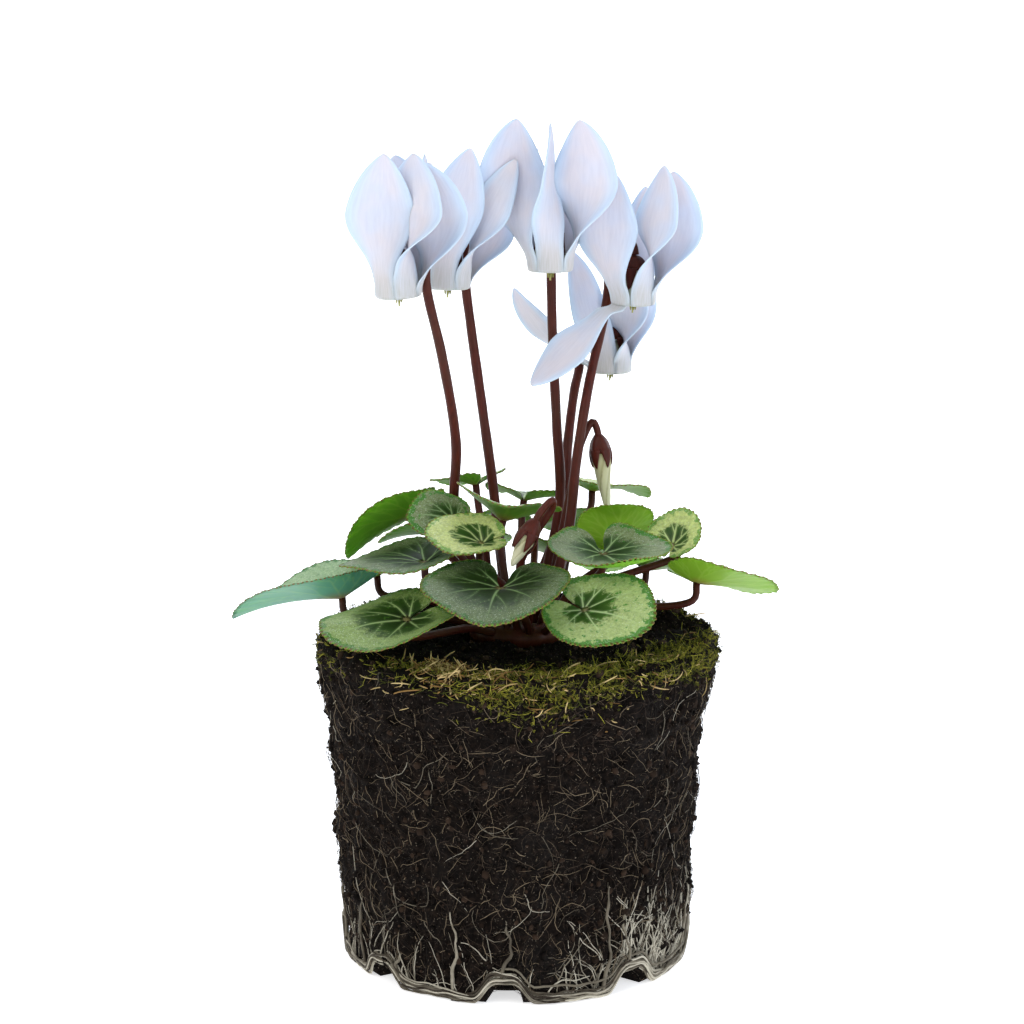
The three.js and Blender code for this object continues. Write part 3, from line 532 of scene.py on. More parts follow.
def makeRoots():
    draw = random.Random(roots["seed"])
    mat, fine, hair = (roots[key] for key in ("mat", "fine", "hair"))
    points, faces, tones = np.empty((0, 3)), [], []

    def collect(kind, lines, radii):  # each strand with a tone of its own
        nonlocal points, faces
        points, faces = joined(points, faces, *tubes(lines, radii, kind["sides"]))
        tones.extend(np.repeat([draw.uniform(*kind["tone"]) for _ in lines], kind["steps"] * kind["sides"]))

    def fineRoot(draw):  # thin ones that come out of the mat, most at the front right
        angle = math.radians(draw.gauss(*fine["gather"]) if draw.random() < 0.5 else draw.uniform(0, 360))
        near = math.cos(angle - math.radians(roots["denseAt"])) > 0.8
        length = draw.uniform(*fine["denseLength"] if near else fine["length"])
        return angle, matHeight(angle) - 0.6, math.pi / 2 + draw.gauss(0, 0.35), length, fine["lift"]

    def hairRoot(draw):  # over the whole wall
        z = 70 * draw.random() ** 1.4 + 4
        turn, heading = draw.uniform(0, 2 * math.pi), draw.gauss(-math.pi / 2, 0.9)
        return turn, z, heading, draw.uniform(*hair["length"]), hair["lift"]

    lines = []
    for _ in range(mat["threads"]):  # the braid round the bottom edge
        start, span = draw.uniform(0, 2 * math.pi), draw.uniform(*mat["span"])
        turn = start + np.linspace(0, span, mat["steps"])
        up, out, phase = draw.gauss(0, mat["rise"]), draw.uniform(*mat["out"]), draw.uniform(0, 6.3)
        sway = 0.45 * np.sin(7 * turn + phase) + 0.3 * np.sin(19 * turn + 2 * phase)
        sway = sway + 0.12 * np.sin(47 * turn)
        z = np.maximum(matHeight(turn) + up + sway, mat["lowest"])
        lines.append(polar(ballRadius(turn, z) + gap + out + 0.25 * np.cos(9 * turn + phase), turn, z))
    radii = np.array([[draw.uniform(*mat["radius"])] for _ in lines]) * np.ones((1, mat["steps"]))
    radii[:, 0] = radii[:, -1] = mat["endRadius"]
    collect(mat, lines, radii)
    collect(roots["stout"], *climbingRoots())
    for kind, pick in ((fine, fineRoot), (hair, hairRoot)):
        lines = strandsOnWall(draw, kind["threads"], pick, kind["steps"], kind["bend"])
        radii = np.array([[draw.uniform(*kind["radius"])] for _ in lines])
        collect(kind, lines, radii * np.linspace(1, kind["tip"], kind["steps"]))
    addPiece("rootMat", points, faces, [rootSkin], ["roots"], values={"tone": tones})


rootSkin = strandMaterial("young root skin", "#2a221a", "#777061", "#bdb7a6", 0.65)
makeRoots()
print("root mat and roots laid")


moss = {
    "patches": [  # angle in plan, height on the wall, spreads, shoots
        (-40, 81, 15, 4, 380), (-26, 79, 12, 4, 200), (-66, 79, 10, 4, 260), (-82, 77, 9, 5, 240),
        (-97, 77, 8, 4, 150), (-12, 79, 10, 3, 80), (-118, 80, 12, 2, 110), (40, 80, 25, 2, 120),
        (150, 80, 30, 2, 140), (-160, 79, 14, 3, 60),
    ],
    "leaflets": 9, "height": (0.7, 1.9), "leaflet": (0.35, 0.8), "halfWidth": (0.06, 0.12),
    "bareRings": 24, "seed": 21,
}
straw = {
    "clumps": [  # angle in plan, height, spreads, stems
        (-114, 82.5, 4, 1.4, 190), (-110, 80.5, 5, 2, 110), (-96, 80.5, 6, 1.6, 70), (-78, 77, 14, 4, 70),
        (-46, 80, 12, 3, 60), (-128, 78, 6, 3, 14), (60, 81, 60, 2, 30), (180, 81, 60, 2, 30),
    ],
    "length": (1.5, 8), "radius": (0.06, 0.19), "seed": 22,
}
mossStems = {
    "clumps": [
        (-40, 81, 14, 3, 420), (-66, 80, 12, 3, 300), (-84, 78, 10, 4, 320), (-100, 79, 8, 3, 200),
        (-120, 80, 10, 2, 120), (50, 80, 40, 2, 200), (170, 80, 50, 2, 240),
    ],
    "length": (1.2, 5.5), "radius": (0.035, 0.09), "seed": 23,
}
stemTaper = [0.6, 1, 1, 1, 1, 1, 0.9, 0.4]
stemSides = 5


def topOrWall(angle, z):  # past the rim a patch goes on over the top, toward the middle
    if z < ball["height"] - 1:
        return onBall(np.array([angle]), np.array([z]))[0]
    inward = int(min((z - ball["height"] + 1) * 1.6, ball["topRings"] - moss["bareRings"]))
    column = int(round(angle / (2 * math.pi) * ball["around"])) % ball["around"]
    return ballSurface[ball["wallRows"] + inward, column]


def makeMoss():
    draw = random.Random(moss["seed"])
    points, faces, tones = [], [], []
    for angle, z, wide, tall, shoots in moss["patches"]:
        for _ in range(shoots):
            turn = math.radians(draw.gauss(angle, wide * 0.6))
            foot = topOrWall(turn, draw.gauss(z, tall * 0.7))
            out = polar(1, turn, 0)
            rim = foot[2] > ball["height"] - 2
            lean = unit(out * (0.35 if rim else 1) + np.array([0, 0, 1.0 if rim else 0.45])
                        + np.array([draw.gauss(0, 0.45) for _ in range(3)]))
            height = draw.uniform(*moss["height"])
            tone = draw.random()
            for k in range(moss["leaflets"]):
                share = (k + 0.6) / moss["leaflets"]
                middle = foot + lean * height * share
                spin = 2.4 * k + draw.random()
                side = unit(np.cross(lean, [math.sin(spin), math.cos(spin), 0.3]))
                tip = middle + unit(side + lean * 0.9) * draw.uniform(*moss["leaflet"]) * (1.15 - 0.5 * share)
                broad = np.cross(unit(tip - middle), lean) * draw.uniform(*moss["halfWidth"])
                a = len(points)
                points += [middle - lean * 0.12, middle + broad + lean * 0.12, tip,
                           middle - broad + lean * 0.12, middle + lean * 0.2 + side * 0.16]
                faces += [[a, a + 2, a + 1], [a, a + 3, a + 2], [a + 4, a + 1, a + 2], [a + 4, a + 2, a + 3],
                          [a, a + 1, a + 4], [a, a + 4, a + 3]]
                tones += [tone * 0.75 + 0.1, tone, min(1, tone + 0.3), tone, tone]
    addPiece("moss", points, faces, [mossLeaf], values={"tone": tones})


def makeStraw(piece, kind, skin):
    draw = random.Random(kind["seed"])
    steps = len(stemTaper)
    share = np.linspace(-0.5, 0.5, steps)[:, None]
    lines, radii, tones = [], [], []
    for angle, z, wide, tall, count in kind["clumps"]:
        for _ in range(count):
            turn = math.radians(draw.gauss(angle, wide))
            foot = topOrWall(turn, draw.gauss(z, tall))
            out = polar(1, turn, 0)
            along = unit(np.array([draw.gauss(0, 1), draw.gauss(0, 1), draw.gauss(0, 0.5)]) + out * 0.2)
            length = between(*kind["length"], draw.random() ** 1.6)
            curl = unit(np.cross(along, [draw.gauss(0, 1) for _ in range(3)])) * draw.uniform(0, 0.9)
            middle = foot + out * 0.3 + np.array([0, 0, 0.5])
            lines.append(middle + along * share * length + curl * length * (0.25 - share ** 2))
            radii.append(np.full(steps, draw.uniform(*kind["radius"])) * stemTaper)
            tones.append(draw.random())
    points, faces = tubes(lines, radii, stemSides)
    addPiece(piece, points, faces, [skin], values={"tone": np.repeat(tones, steps * stemSides)})


mossLeaf = strandMaterial("cushion moss", "#24290f", "#5f6422", "#a09b3c", 0.7)
dryStraw = strandMaterial("dry moss stem", "#46331b", "#927040", "#cfb681", 0.6)
makeMoss()
makeStraw("straw", straw, dryStraw)
makeStraw("mossStems", mossStems, mossLeaf)
print("moss and straw set on the compost")


def corkMaterial():
    # tuber skin: corky brown bark, cracked into flakes about 2 mm across
    cork, tree = newMaterial("corky tuber skin")
    place = addNode(tree, "TexCoord", {}, {}).outputs["Object"]
    flake = addNode(tree, "TexVoronoi", {"feature": "DISTANCE_TO_EDGE"},
                    {"Vector": place, "Scale": 1 / (2.2 * mm)})
    grain = addNode(tree, "TexNoise", {}, {"Vector": place, "Scale": 1 / (1.2 * mm), "Detail": 4})
    tone = addNode(tree, "Mix", inColour, {0: grain, 6: "#2e1d12", 7: "#7a5a3e"})
    crack = addNode(tree, "MapRange", {}, {0: flake, 1: 0, 2: 0.12})
    colour = addNode(tree, "Mix", inColour, {0: crack, 6: "#170e09", 7: tone})
    bump = addNode(tree, "Bump", {}, {"Strength": 0.7, "Distance": 0.4 * mm, "Height": flake})
    giveSurface(tree, {"Base Color": colour, "Normal": bump, "Roughness": 0.9})
    return cork


def makeTuber():
    turn = np.linspace(-np.pi / 2, np.pi / 2, tuber["rings"])
    radius = tuber["radius"] * np.abs(np.cos(turn)) ** 0.8
    profile = list(zip(radius, tuber["halfHeight"] * np.sin(turn)))
    points, faces = turned(profile, tuber["sides"],
                           lambda a, h: 1 + 0.02 * np.sin(5 * a + h) + 0.012 * np.sin(13 * a - h))
    addPiece("tuber", points + np.array(tuber["centre"]), faces, [corkMaterial()], ["tuber"])


makeTuber()
print("tuber made")


leafForm = {
    "thickness": 0.6, "rimThickness": 0.34, "centreOffset": 0.36, "rings": 19, "pointsPerTooth": 4,
    "toothPitch": 1.05, "toothDepth": 0.3, "veinDepth": 0.09, "quilt": 0.06, "seed": 100,
    "veins": (0, 42, -42, 86, -86, 132, -132), "veinReach": 0.93, "veinBits": 6,
}
leafLooks = {  # hex colours, where the pale zone starts, how soft it is, and how much green blots its edge
    "green": {"deep": "#182a0b", "centre": "#2b4615", "pale": "#869c58", "rim": "#456f25", "vein": "#a3bd7c",
              "under": "#6f9c2c", "start": 0.56, "soft": 0.2, "blots": 0.52},
    "dark": {"deep": "#101c07", "centre": "#1e330d", "pale": "#5f7045", "rim": "#35601f", "vein": "#86a46a",
             "under": "#76a52c", "start": 0.68, "soft": 0.34, "blots": 0.5},
    "silver": {"deep": "#263f12", "centre": "#3d5f20", "pale": "#aebf7d", "rim": "#4d7f35", "vein": "#c0d69c",
               "under": "#6c9b2c", "start": 0.44, "soft": 0.12, "blots": 0.56},
    "cream": {"deep": "#1c300e", "centre": "#305018", "pale": "#c2cd80", "rim": "#6d9345", "vein": "#bccf88",
              "under": "#86b035", "start": 0.52, "soft": 0.12, "blots": 0.44},
    "grey": {"deep": "#192d0b", "centre": "#2a4815", "pale": "#7a875e", "rim": "#3f7429", "vein": "#98b57c",
             "under": "#7cb034", "start": 0.54, "soft": 0.3, "blots": 0.5},
    "blue": {"deep": "#223f1e", "centre": "#35603a", "pale": "#94b083", "rim": "#4b7d48", "vein": "#a9c592",
             "under": "#5c9a7e", "start": 0.46, "soft": 0.22, "blots": 0.46},
    "lime": {"deep": "#1d3712", "centre": "#335a20", "pale": "#a8c07c", "rim": "#5d8f33", "vein": "#b3cc84",
             "under": "#84ab2c", "start": 0.5, "soft": 0.14, "blots": 0.5},
}
leaves = [  # name, stalk end, aim (heading, dip, roll), half width, notch,
    # shape (cup, fold, lift, wave and, for a cupped one, curl) and look
    ("low_1", (15.5, -37, 94.2), (-38, 4, 27), 13, 12, (0.9, 0, 0, 0.04), "silver"),
    ("low_2", (43.5, -8, 94.6), (-4, 10, -21), 13.5, 14, (0.4, 0.2, 0, 0.05), "lime"),
    ("low_3", (33, 24, 91), (38, 14, 0), 16, 12, (1, 0.1, 0, 0.06), "green"),
    ("low_4", (13, 39, 90), (76, 18, 4), 15.5, 16, (1, 0.05, 0, 0.05), "dark"),
    ("low_5", (-14, 39, 91), (110, 16, -4), 15, 12, (0.8, 0.1, 0, 0.06), "silver"),
    ("low_6", (-35, 21, 90), (150, 14, 0), 15, 14, (1, 0, 0.05, 0.05), "grey"),
    ("low_7", (-42, -8, 91), (184, 12, 8), 18, 14, (0.8, 0.3, 0, 0.05), "blue"),
    ("low_8", (-25, -35, 91.5), (-150, 9, -22), 15, 12, (0.9, 0, 0.4, 0.05), "green"),
    ("mid_1", (-3.6, -33, 98.5), (-100, 7, 0), 17, 28, (0.75, 0.1, 0, 0.03), "dark"),
    ("mid_2", (20.5, -18, 103.5), (-76, 13, 0), 14.5, 22, (1.2, 0, 0, 0.03, 1.7), "grey"),
    ("mid_3", (37.5, -8, 103.3), (64, -50, 0), 7, 8, (1, 0.1, 0, 0.05), "cream"),
    ("mid_4", (24, -2.4, 103.5), (-80, -52, 0), 9.5, 14, (1, 0.1, 0, 0.05), "lime"),
    ("mid_5", (5, 29, 101.5), (82, 16, 0), 14, 18, (1, 0.1, 0, 0.06), "silver"),
    ("mid_6", (-18.5, 27, 99.5), (126, 16, 0), 13.5, 14, (0.9, 0.05, 0, 0.06), "green"),
    ("mid_7", (-24.5, 4, 109), (172, 32, 13), 14, 12, (0.7, 0.1, 0.1, 0.05), "green"),
    ("mid_8", (-21.5, -21, 102), (180, 4, -4), 13.5, 6, (1, 0, 0, 0.04), "dark"),
    ("top_1", (-8, -23, 107), (188, -6, -20), 9.5, 8, (1.5, 0.1, 0, 0.04), "cream"),
    ("top_2", (-15, -11.5, 110.3), (200, -8, -40), 8, 10, (0.9, 0, 0, 0.04), "grey"),
    ("top_3", (-3, -8.5, 110), (-86, -18, -14), 12.5, 18, (1, 0.3, 0, 0.04), "silver"),
    ("top_4", (2, 18, 110), (84, 10, 6), 10.5, 16, (1, 0.1, 0, 0.06), "green"),
    ("top_5", (19, 20, 112), (24, 8, -6), 11, 14, (1, 0, 0, 0.06), "cream"),
    ("top_6", (-10, 15, 114.5), (122, 12, 0), 9.5, 12, (1, 0.1, 0, 0.05), "silver"),
]


def leafMatrix(aim):
    heading, dip, roll = (math.radians(v) for v in aim)
    return np.array(Euler((roll, dip, heading), "XYZ").to_matrix())


def leafEdge(angle, phase):  # how far the edge lies from the stalk, in half widths
    c = leafForm["centreOffset"]
    rounded = c * np.cos(angle) + np.sqrt(1 - (c * np.sin(angle)) ** 2)
    tip = 0.1 * np.exp(-((angle / 0.3) ** 2))
    angular = 0.025 * np.cos(5 * angle + phase)
    return (rounded + tip + angular) * (1 - 0.2 * smoothstep(np.abs(angle), 2.4, np.pi))


def leafHeight(shape, phase, angle, reach):
    cup, fold, lift, wave, curl = (*shape, 0)[:5]
    side = reach * np.sin(angle)
    soft = np.sqrt(reach ** 2 + 0.003) - 0.003 ** 0.5
    funnel = cup * (0.34 * soft - 0.2 * reach ** 2)
    lobes = 0.16 * reach * ((1 - np.cos(angle)) / 2) ** 1.5
    folded = fold * (np.sqrt(side ** 2 + 0.02) - 0.02 ** 0.5)
    waved = wave * reach ** 2 * np.sin(3 * angle + phase)
    return funnel + lobes + folded + lift * side * np.abs(side) + waved + curl * reach ** 4 / 16


def veinsOf(draw, phase):  # main veins fan out from the stalk and fork toward the edge
    veins = []

    def grow(x, y, heading, length, width, level, curl):
        bits = leafForm["veinBits"]
        for i in range(bits):
            turn = heading + curl * i / bits + draw.gauss(0, 0.05)
            nextX, nextY = x + math.cos(turn) * length / bits, y + math.sin(turn) * length / bits
            veins.append((x, y, nextX, nextY, width * (1 - 0.65 * i / bits)))
            x, y = nextX, nextY
            if level < 2 and i in ((1, 2, 3, 4) if level == 0 else (2, 4)):
                side = 1 if i % 2 else -1
                share = 1 - i / bits
                grow(x, y, turn + side * draw.uniform(0.5, 0.8), length * (0.2 + 0.42 * share),
                     width * 0.55, level + 1, -side * 0.3)

    for degrees in leafForm["veins"]:
        heading = math.radians(degrees) + draw.gauss(0, 0.04)
        length = leafForm["veinReach"] * float(leafEdge(np.array(heading), phase))
        grow(0, 0, heading, length, 0.2 if degrees else 0.27, 0, -0.22 * math.sin(heading))
    return np.array(veins)


def veinDistance(x, y, veins, size):  # millimetres to the side of the nearest vein, negative inside it
    nearest = np.full(x.shape, 9.0)
    for ax, ay, bx, by, width in veins:
        dx, dy = bx - ax, by - ay
        along = np.clip(((x - ax) * dx + (y - ay) * dy) / (dx * dx + dy * dy), 0, 1)
        apart = np.hypot(x - ax - along * dx, y - ay - along * dy) * size
        nearest = np.minimum(nearest, apart - width)
    return nearest


def upperSkin(name, look):
    # the leaf's upper skin: waxed and satin, pebbled by its cells, drawn 0.4 mm across so that they show
    upper, tree = newMaterial(name)
    place = addNode(tree, "TexCoord", {}, {}).outputs["Object"]
    cloud, fleck, blot, glint = (
        addNode(tree, "TexNoise", {}, {"Vector": place, "Scale": 1 / (size * mm), "Detail": detail,
                                       "Roughness": rough})
        for size, detail, rough in ((2.6, 4, 0.62), (0.7, 3, 0.7), (1.5, 2, 0.5), (0.3, 1, 0.5)))
    share, vein, rim, tooth = (addNode(tree, "Attribute", {"attribute_name": key}, {}).outputs["Fac"]
                               for key in ("share", "vein", "rim", "tooth"))
    # dark heart, a little deeper in the funnel
    heart = addNode(tree, "MapRange", eased, {0: share, 1: 0.05, 2: 0.5})
    mottled = addNode(tree, "Math", {"operation": "MULTIPLY"}, {0: heart, 1: cloud})
    heartTone = addNode(tree, "MapRange", {}, {0: mottled, 1: 0, 2: 0.6})
    colour = addNode(tree, "Mix", inColour, {0: heartTone, 6: look["deep"], 7: look["centre"]})
    # the silver zone, where air lies under the skin; it starts later beside a vein
    ragged = addNode(tree, "Math", {"operation": "MULTIPLY_ADD"}, {0: cloud, 1: 0.3, 2: share})
    offVeins = addNode(tree, "MapRange", {}, {0: vein, 1: 0.2, 2: 2.4, 3: -0.05, 4: 0.07})
    edge = addNode(tree, "Math", {}, {0: ragged, 1: offVeins})
    spread = addNode(tree, "Math", {"operation": "MULTIPLY_ADD"}, {0: fleck, 1: 0.2, 2: edge})
    start, half = look["start"] + 0.25, look["soft"] / 2
    zone = addNode(tree, "MapRange", eased, {0: spread, 1: start - half, 2: start + half})
    paleTone = addNode(tree, "MapRange", {}, {0: fleck, 1: 0.3, 2: 0.66, 3: 0.5, 4: 1})
    silver = addNode(tree, "Mix", inColour, {0: paleTone, 6: look["centre"], 7: look["pale"]})
    # green blots near the edge
    near = addNode(tree, "MapRange", eased, {0: rim, 1: 2.6, 2: 0.5})
    blotted = addNode(tree, "Math", {"operation": "MULTIPLY_ADD"}, {0: near, 1: 0.3, 2: blot})
    blots = addNode(tree, "MapRange", eased, {0: blotted, 1: 1.16 - look["blots"], 2: 1.26 - look["blots"]})
    # painted glints: pale specks painted over the silver zone, where the waxed cells catch the light
    paintedGlintSpots = addNode(tree, "MapRange", {}, {0: glint, 1: 0.6, 2: 0.72, 4: 0.5})
    paintedGlints = addNode(tree, "Math", {"operation": "MULTIPLY"}, {0: paintedGlintSpots, 1: zone})
    # veins, palest in the dark heart, with a faint band beside them
    band = addNode(tree, "MapRange", eased, {0: vein, 1: 0.6, 2: 0, 4: 0.14})
    line = addNode(tree, "MapRange", eased, {0: vein, 1: 0.1, 2: -0.06, 4: 0.75})
    fading = addNode(tree, "MapRange", {}, {0: share, 1: 0.35, 2: 0.85, 3: 1, 4: 0.2})
    strongest = addNode(tree, "Math", {"operation": "MAXIMUM"}, {0: band, 1: line})
    marked = addNode(tree, "Math", {"operation": "MULTIPLY"}, {0: strongest, 1: fading})
    # lay on the silver zone, the green blots, the painted glints and the veins
    for mask, tint in ((zone, silver), (blots, look["rim"]), (paintedGlints, "#cdd8c4"),
                       (marked, look["vein"])):
        colour = addNode(tree, "Mix", inColour, {0: mask, 6: colour, 7: tint})
    # the thin rim lets light through; rusty tips on the teeth, and a flush where the stalk joins
    colour = layWashes(tree, colour, [
        (rim, 0.5, 0.1, 0.55, look["under"], eased),
        (tooth, 0.3, 0.8, 0.85, "#744a2b", {}),
        (share, 0.11, 0.03, 0.7, "#6d4a2b", eased),
    ])
    cells = addNode(tree, "TexVoronoi", {"feature": "SMOOTH_F1"}, {"Vector": place, "Scale": 1 / (0.4 * mm)})
    pebble = addNode(tree, "Bump", {}, {"Strength": 0.35, "Distance": 0.08 * mm, "Height": cells})
    giveSurface(tree, {
        "Base Color": colour, "Normal": pebble, "Roughness": 0.48, "Specular IOR Level": 0.2,
        "Subsurface Weight": 0.18, "Subsurface Radius": (0.6, 1.0, 0.3), "Subsurface Scale": 1.2 * mm})
    return upper


def underSkin(name, look):
    # the leaf's underside: smooth and paler, lit through from above
    under, tree = newMaterial(name)
    place = addNode(tree, "TexCoord", {}, {}).outputs["Object"]
    cloud = addNode(tree, "TexNoise", {}, {"Vector": place, "Scale": 1 / (3.5 * mm), "Detail": 3})
    share, vein = (addNode(tree, "Attribute", {"attribute_name": key}, {}).outputs["Fac"]
                   for key in ("share", "vein"))
    shade = addNode(tree, "HueSaturation", {}, {"Value": 0.8, "Color": look["under"]})
    colour = addNode(tree, "Mix", inColour, {0: cloud, 6: shade, 7: look["under"]})
    colour = layWashes(tree, colour, [  # the ribs, and a flush where the stalk joins
        (vein, 0.3, -0.1, 0.16, "#b9cf6e", eased),
        (share, 0.35, 0.02, 0.75, "#8d6a3c", eased),
    ])
    bump = addNode(tree, "Bump", {}, {"Strength": 0.2, "Distance": 0.1 * mm, "Height": cloud})
    giveSurface(tree, {
        "Base Color": colour, "Normal": bump, "Roughness": 0.5, "Specular IOR Level": 0.35,
        "Subsurface Weight": 0.45, "Subsurface Radius": (0.7, 1.0, 0.25), "Subsurface Scale": 1.6 * mm})
    return under


leafSkins = {key: (upperSkin("leaf top " + key, look), underSkin("leaf underside " + key, look))
             for key, look in leafLooks.items()}


def leafFaces(rings, spokes):  # upper skin, underside, edge with both sides of the notch, and their materials
    body = rings * spokes
    rim, firstUnder = 1 + body, 1 + body + spokes
    end = firstUnder + body
    outer, lowerRim = rim - spokes, end - spokes
    upper = [[0, 1 + j, 2 + j] for j in range(spokes - 1)] + gridFaces(rings, spokes, False, 1)
    under = [face[::-1] for face in gridFaces(rings, spokes, False, firstUnder)]
    under += [[end, firstUnder + j + 1, firstUnder + j] for j in range(spokes - 1)]
    edge = []
    for j in range(spokes - 1):
        edge += [[outer + j, rim + j, rim + j + 1, outer + j + 1],
                 [rim + j, lowerRim + j, lowerRim + j + 1, rim + j + 1]]
    for j, flip in ((0, False), (spokes - 1, True)):
        high = [0] + [1 + i * spokes + j for i in range(rings)]
        low = [end] + [firstUnder + i * spokes + j for i in range(rings)]
        side = [[high[i], low[i], low[i + 1], high[i + 1]] for i in range(rings)]
        side.append([high[rings], low[rings], rim + j])
        edge += [face[::-1] for face in side] if flip else side
    return upper + under + edge, [0] * len(upper) + [1] * len(under) + [0] * len(edge)


def makeLeaf(index, leaf):
    name, place, aim, size, notch, shape, look = leaf
    phase = 2.1 * index
    draw = random.Random(leafForm["seed"] + index)
    teeth = round(2 * math.pi * size / leafForm["toothPitch"])
    spokes = teeth * leafForm["pointsPerTooth"] + 1
    rings = leafForm["rings"]
    along = np.linspace(-1, 1, spokes)
    crest = np.abs(np.sin(np.pi * teeth * (along + 1) / 2)) ** 1.4
    jitter = np.interp(along, np.linspace(-1, 1, teeth), [draw.uniform(0.55, 1.25) for _ in range(teeth)])
    s, t = np.meshgrid((np.arange(1, rings + 1) / rings) ** 0.92, along, indexing="ij")
    sinus = math.radians(notch) * (1 + 0.5 * (1 - s) ** 3 - 0.35 * np.sin(np.pi * s) + 0.25 * s ** 8)
    angle = t * (np.pi - sinus)
    growth = leafForm["toothDepth"] / size * s ** 24 * (crest * jitter - 0.5)[None, :]
    reach = leafEdge(angle, phase) * s * (1 + growth)
    x, y = reach * np.cos(angle), reach * np.sin(angle)
    vein = veinDistance(x, y, veinsOf(draw, phase), size)
    groove = np.exp(-(np.maximum(vein, 0) / 0.55) ** 2)
    ruffle = 0.1 * s ** 10 * np.sin(np.pi * teeth * t / 2.5 + phase)
    height = leafHeight(shape, phase, angle, reach) * size + ruffle
    puff = leafForm["quilt"] * smoothstep(vein, 0, 1.6) * s * (1 - s ** 6)
    thick = between(leafForm["thickness"], leafForm["rimThickness"], s ** 2)
    top = np.stack([x * size, y * size, height + puff - leafForm["veinDepth"] * groove], -1)
    under = np.stack([x * size, y * size, height - thick - 0.07 * groove * (1.1 - s)], -1)
    rim = (top[-1] + under[-1]) / 2 + polar(0.1, angle[-1], 0)
    points = np.concatenate([[[0, 0, -leafForm["veinDepth"]]], top.reshape(-1, 3), rim, under.reshape(-1, 3),
                             [[0, 0, -leafForm["thickness"] - 0.25]]])
    points = points @ leafMatrix(aim).T + np.array(place)
    toRim = (1 - s) * leafEdge(angle, phase) * size
    values = {}
    for key, centre, data in (("share", 0, s), ("vein", -0.3, vein), ("rim", size, toRim),
                              ("tooth", 0, s ** 24 * crest[None, :])):
        values[key] = np.concatenate([[centre], data.ravel(), data[-1], data.ravel(), [centre]])
    faces, sides = leafFaces(rings, spokes)
    addPiece("leafBlade_" + name, points, faces, leafSkins[look], ["leaf_" + name],
             sides=sides, values=values)


for index, leaf in enumerate(leaves):
    makeLeaf(index, leaf)
print("leaf blades made:", len(leaves))


crown = {"inner": 7.6, "outer": 12.4, "height": 4.8, "sunk": 3, "sides": 66}
leafStalk = {
    "radius": 0.95, "taper": 0.2, "neck": 3.5, "arch": 0.55, "leastArch": 3.2, "steps": 34, "sides": 11,
}


def stalkMaterial(name, low, high, flush):
    # fleshy stalk: satin skin over juicy tissue, with dark and red streaks along it and hardly any sheen
    stalk, tree = newMaterial(name)
    place = addNode(tree, "TexCoord", {}, {}).outputs["Object"]
    drawnOut = addNode(tree, "Mapping", {}, {"Vector": place, "Scale": (1, 1, 0.16)})
    streak = addNode(tree, "TexNoise", {}, {"Vector": drawnOut, "Scale": 1 / (0.8 * mm), "Detail": 3})
    drift = addNode(tree, "TexNoise", {}, {"Vector": place, "Scale": 1 / (9 * mm)})
    colour = addNode(tree, "Mix", inColour, {0: streak, 6: low, 7: high})
    colour = layWashes(tree, colour, [(drift, 0.4, 0.7, 0.5, flush, {})])
    bump = addNode(tree, "Bump", {}, {"Strength": 0.3, "Distance": 0.12 * mm, "Height": streak})
    giveSurface(tree, {
        "Base Color": colour, "Normal": bump, "Roughness": 0.42, "Specular IOR Level": 0.18,
        "Subsurface Weight": 0.12, "Subsurface Radius": (1.0, 0.4, 0.3), "Subsurface Scale": 1.0 * mm,
        "Sheen Weight": 0.01, "Sheen Roughness": 0.4, "Sheen Tint": "#c9a8a0"})
    return stalk


def makeLeafStalks():
    x, y, z = tuber["centre"]

    def bearing(leaf):
        return math.atan2(leaf[1][1] - y, leaf[1][0] - x)

    ordered = sorted(leaves, key=bearing)
    step = 2 * math.pi / len(ordered)
    shift = sum(bearing(leaf) - i * step for i, leaf in enumerate(ordered)) / len(ordered)
    middle = (crown["inner"] + crown["outer"]) / 2
    lines = []
    for i, (_, place, aim, *_) in enumerate(ordered):
        normal = leafMatrix(aim)[:, 2]
        end = np.array(place) - normal * 0.4
        neck = np.array(place) - normal * (leafStalk["neck"] + 1.15)
        foot = polar(middle, shift + i * step, z + tuber["halfHeight"] - 0.6) + [x, y, 0]
        bend = foot + (neck - foot) * 0.3
        bend[2] = foot[2] + max(leafStalk["arch"] * (neck[2] - foot[2]), leafStalk["leastArch"])
        lines.append(curveThrough([foot, bend, neck, end], leafStalk["steps"]))
    share = np.linspace(0, 1, leafStalk["steps"])
    radii = leafStalk["radius"] * (1.12 - leafStalk["taper"] * share) * (1 + 0.02 * np.sin(40 * share))
    low = z + tuber["halfHeight"] - crown["sunk"]
    inner, outer, high = crown["inner"], crown["outer"], low + crown["height"]
    profile = [(0, low), (inner, low), (outer, low), (outer + 0.2, high - 2.6), (outer - 0.6, high - 1),
               (outer - 2, high - 0.1), (inner + 1.2, high), (inner + 0.2, high - 1), (inner - 2, high - 3),
               (0, high - 3)]
    ring, shell = turned(profile, crown["sides"], lambda a, h: 1 + 0.035 * np.cos(11 * a) * (h > low + 1))
    points, faces = joined(*tubes(lines, radii, leafStalk["sides"]), ring + np.array([x, y, 0]), shell)
    addPiece("leafStalks", points, faces, [petiole], ["leaf_stalks"])


petiole = stalkMaterial("leaf stalk skin", "#2b0f09", "#552417", "#43301a")
stem = stalkMaterial("flower stem skin", "#2a0c07", "#5e2216", "#442618")
makeLeafStalks()
print("leaf stalks made")


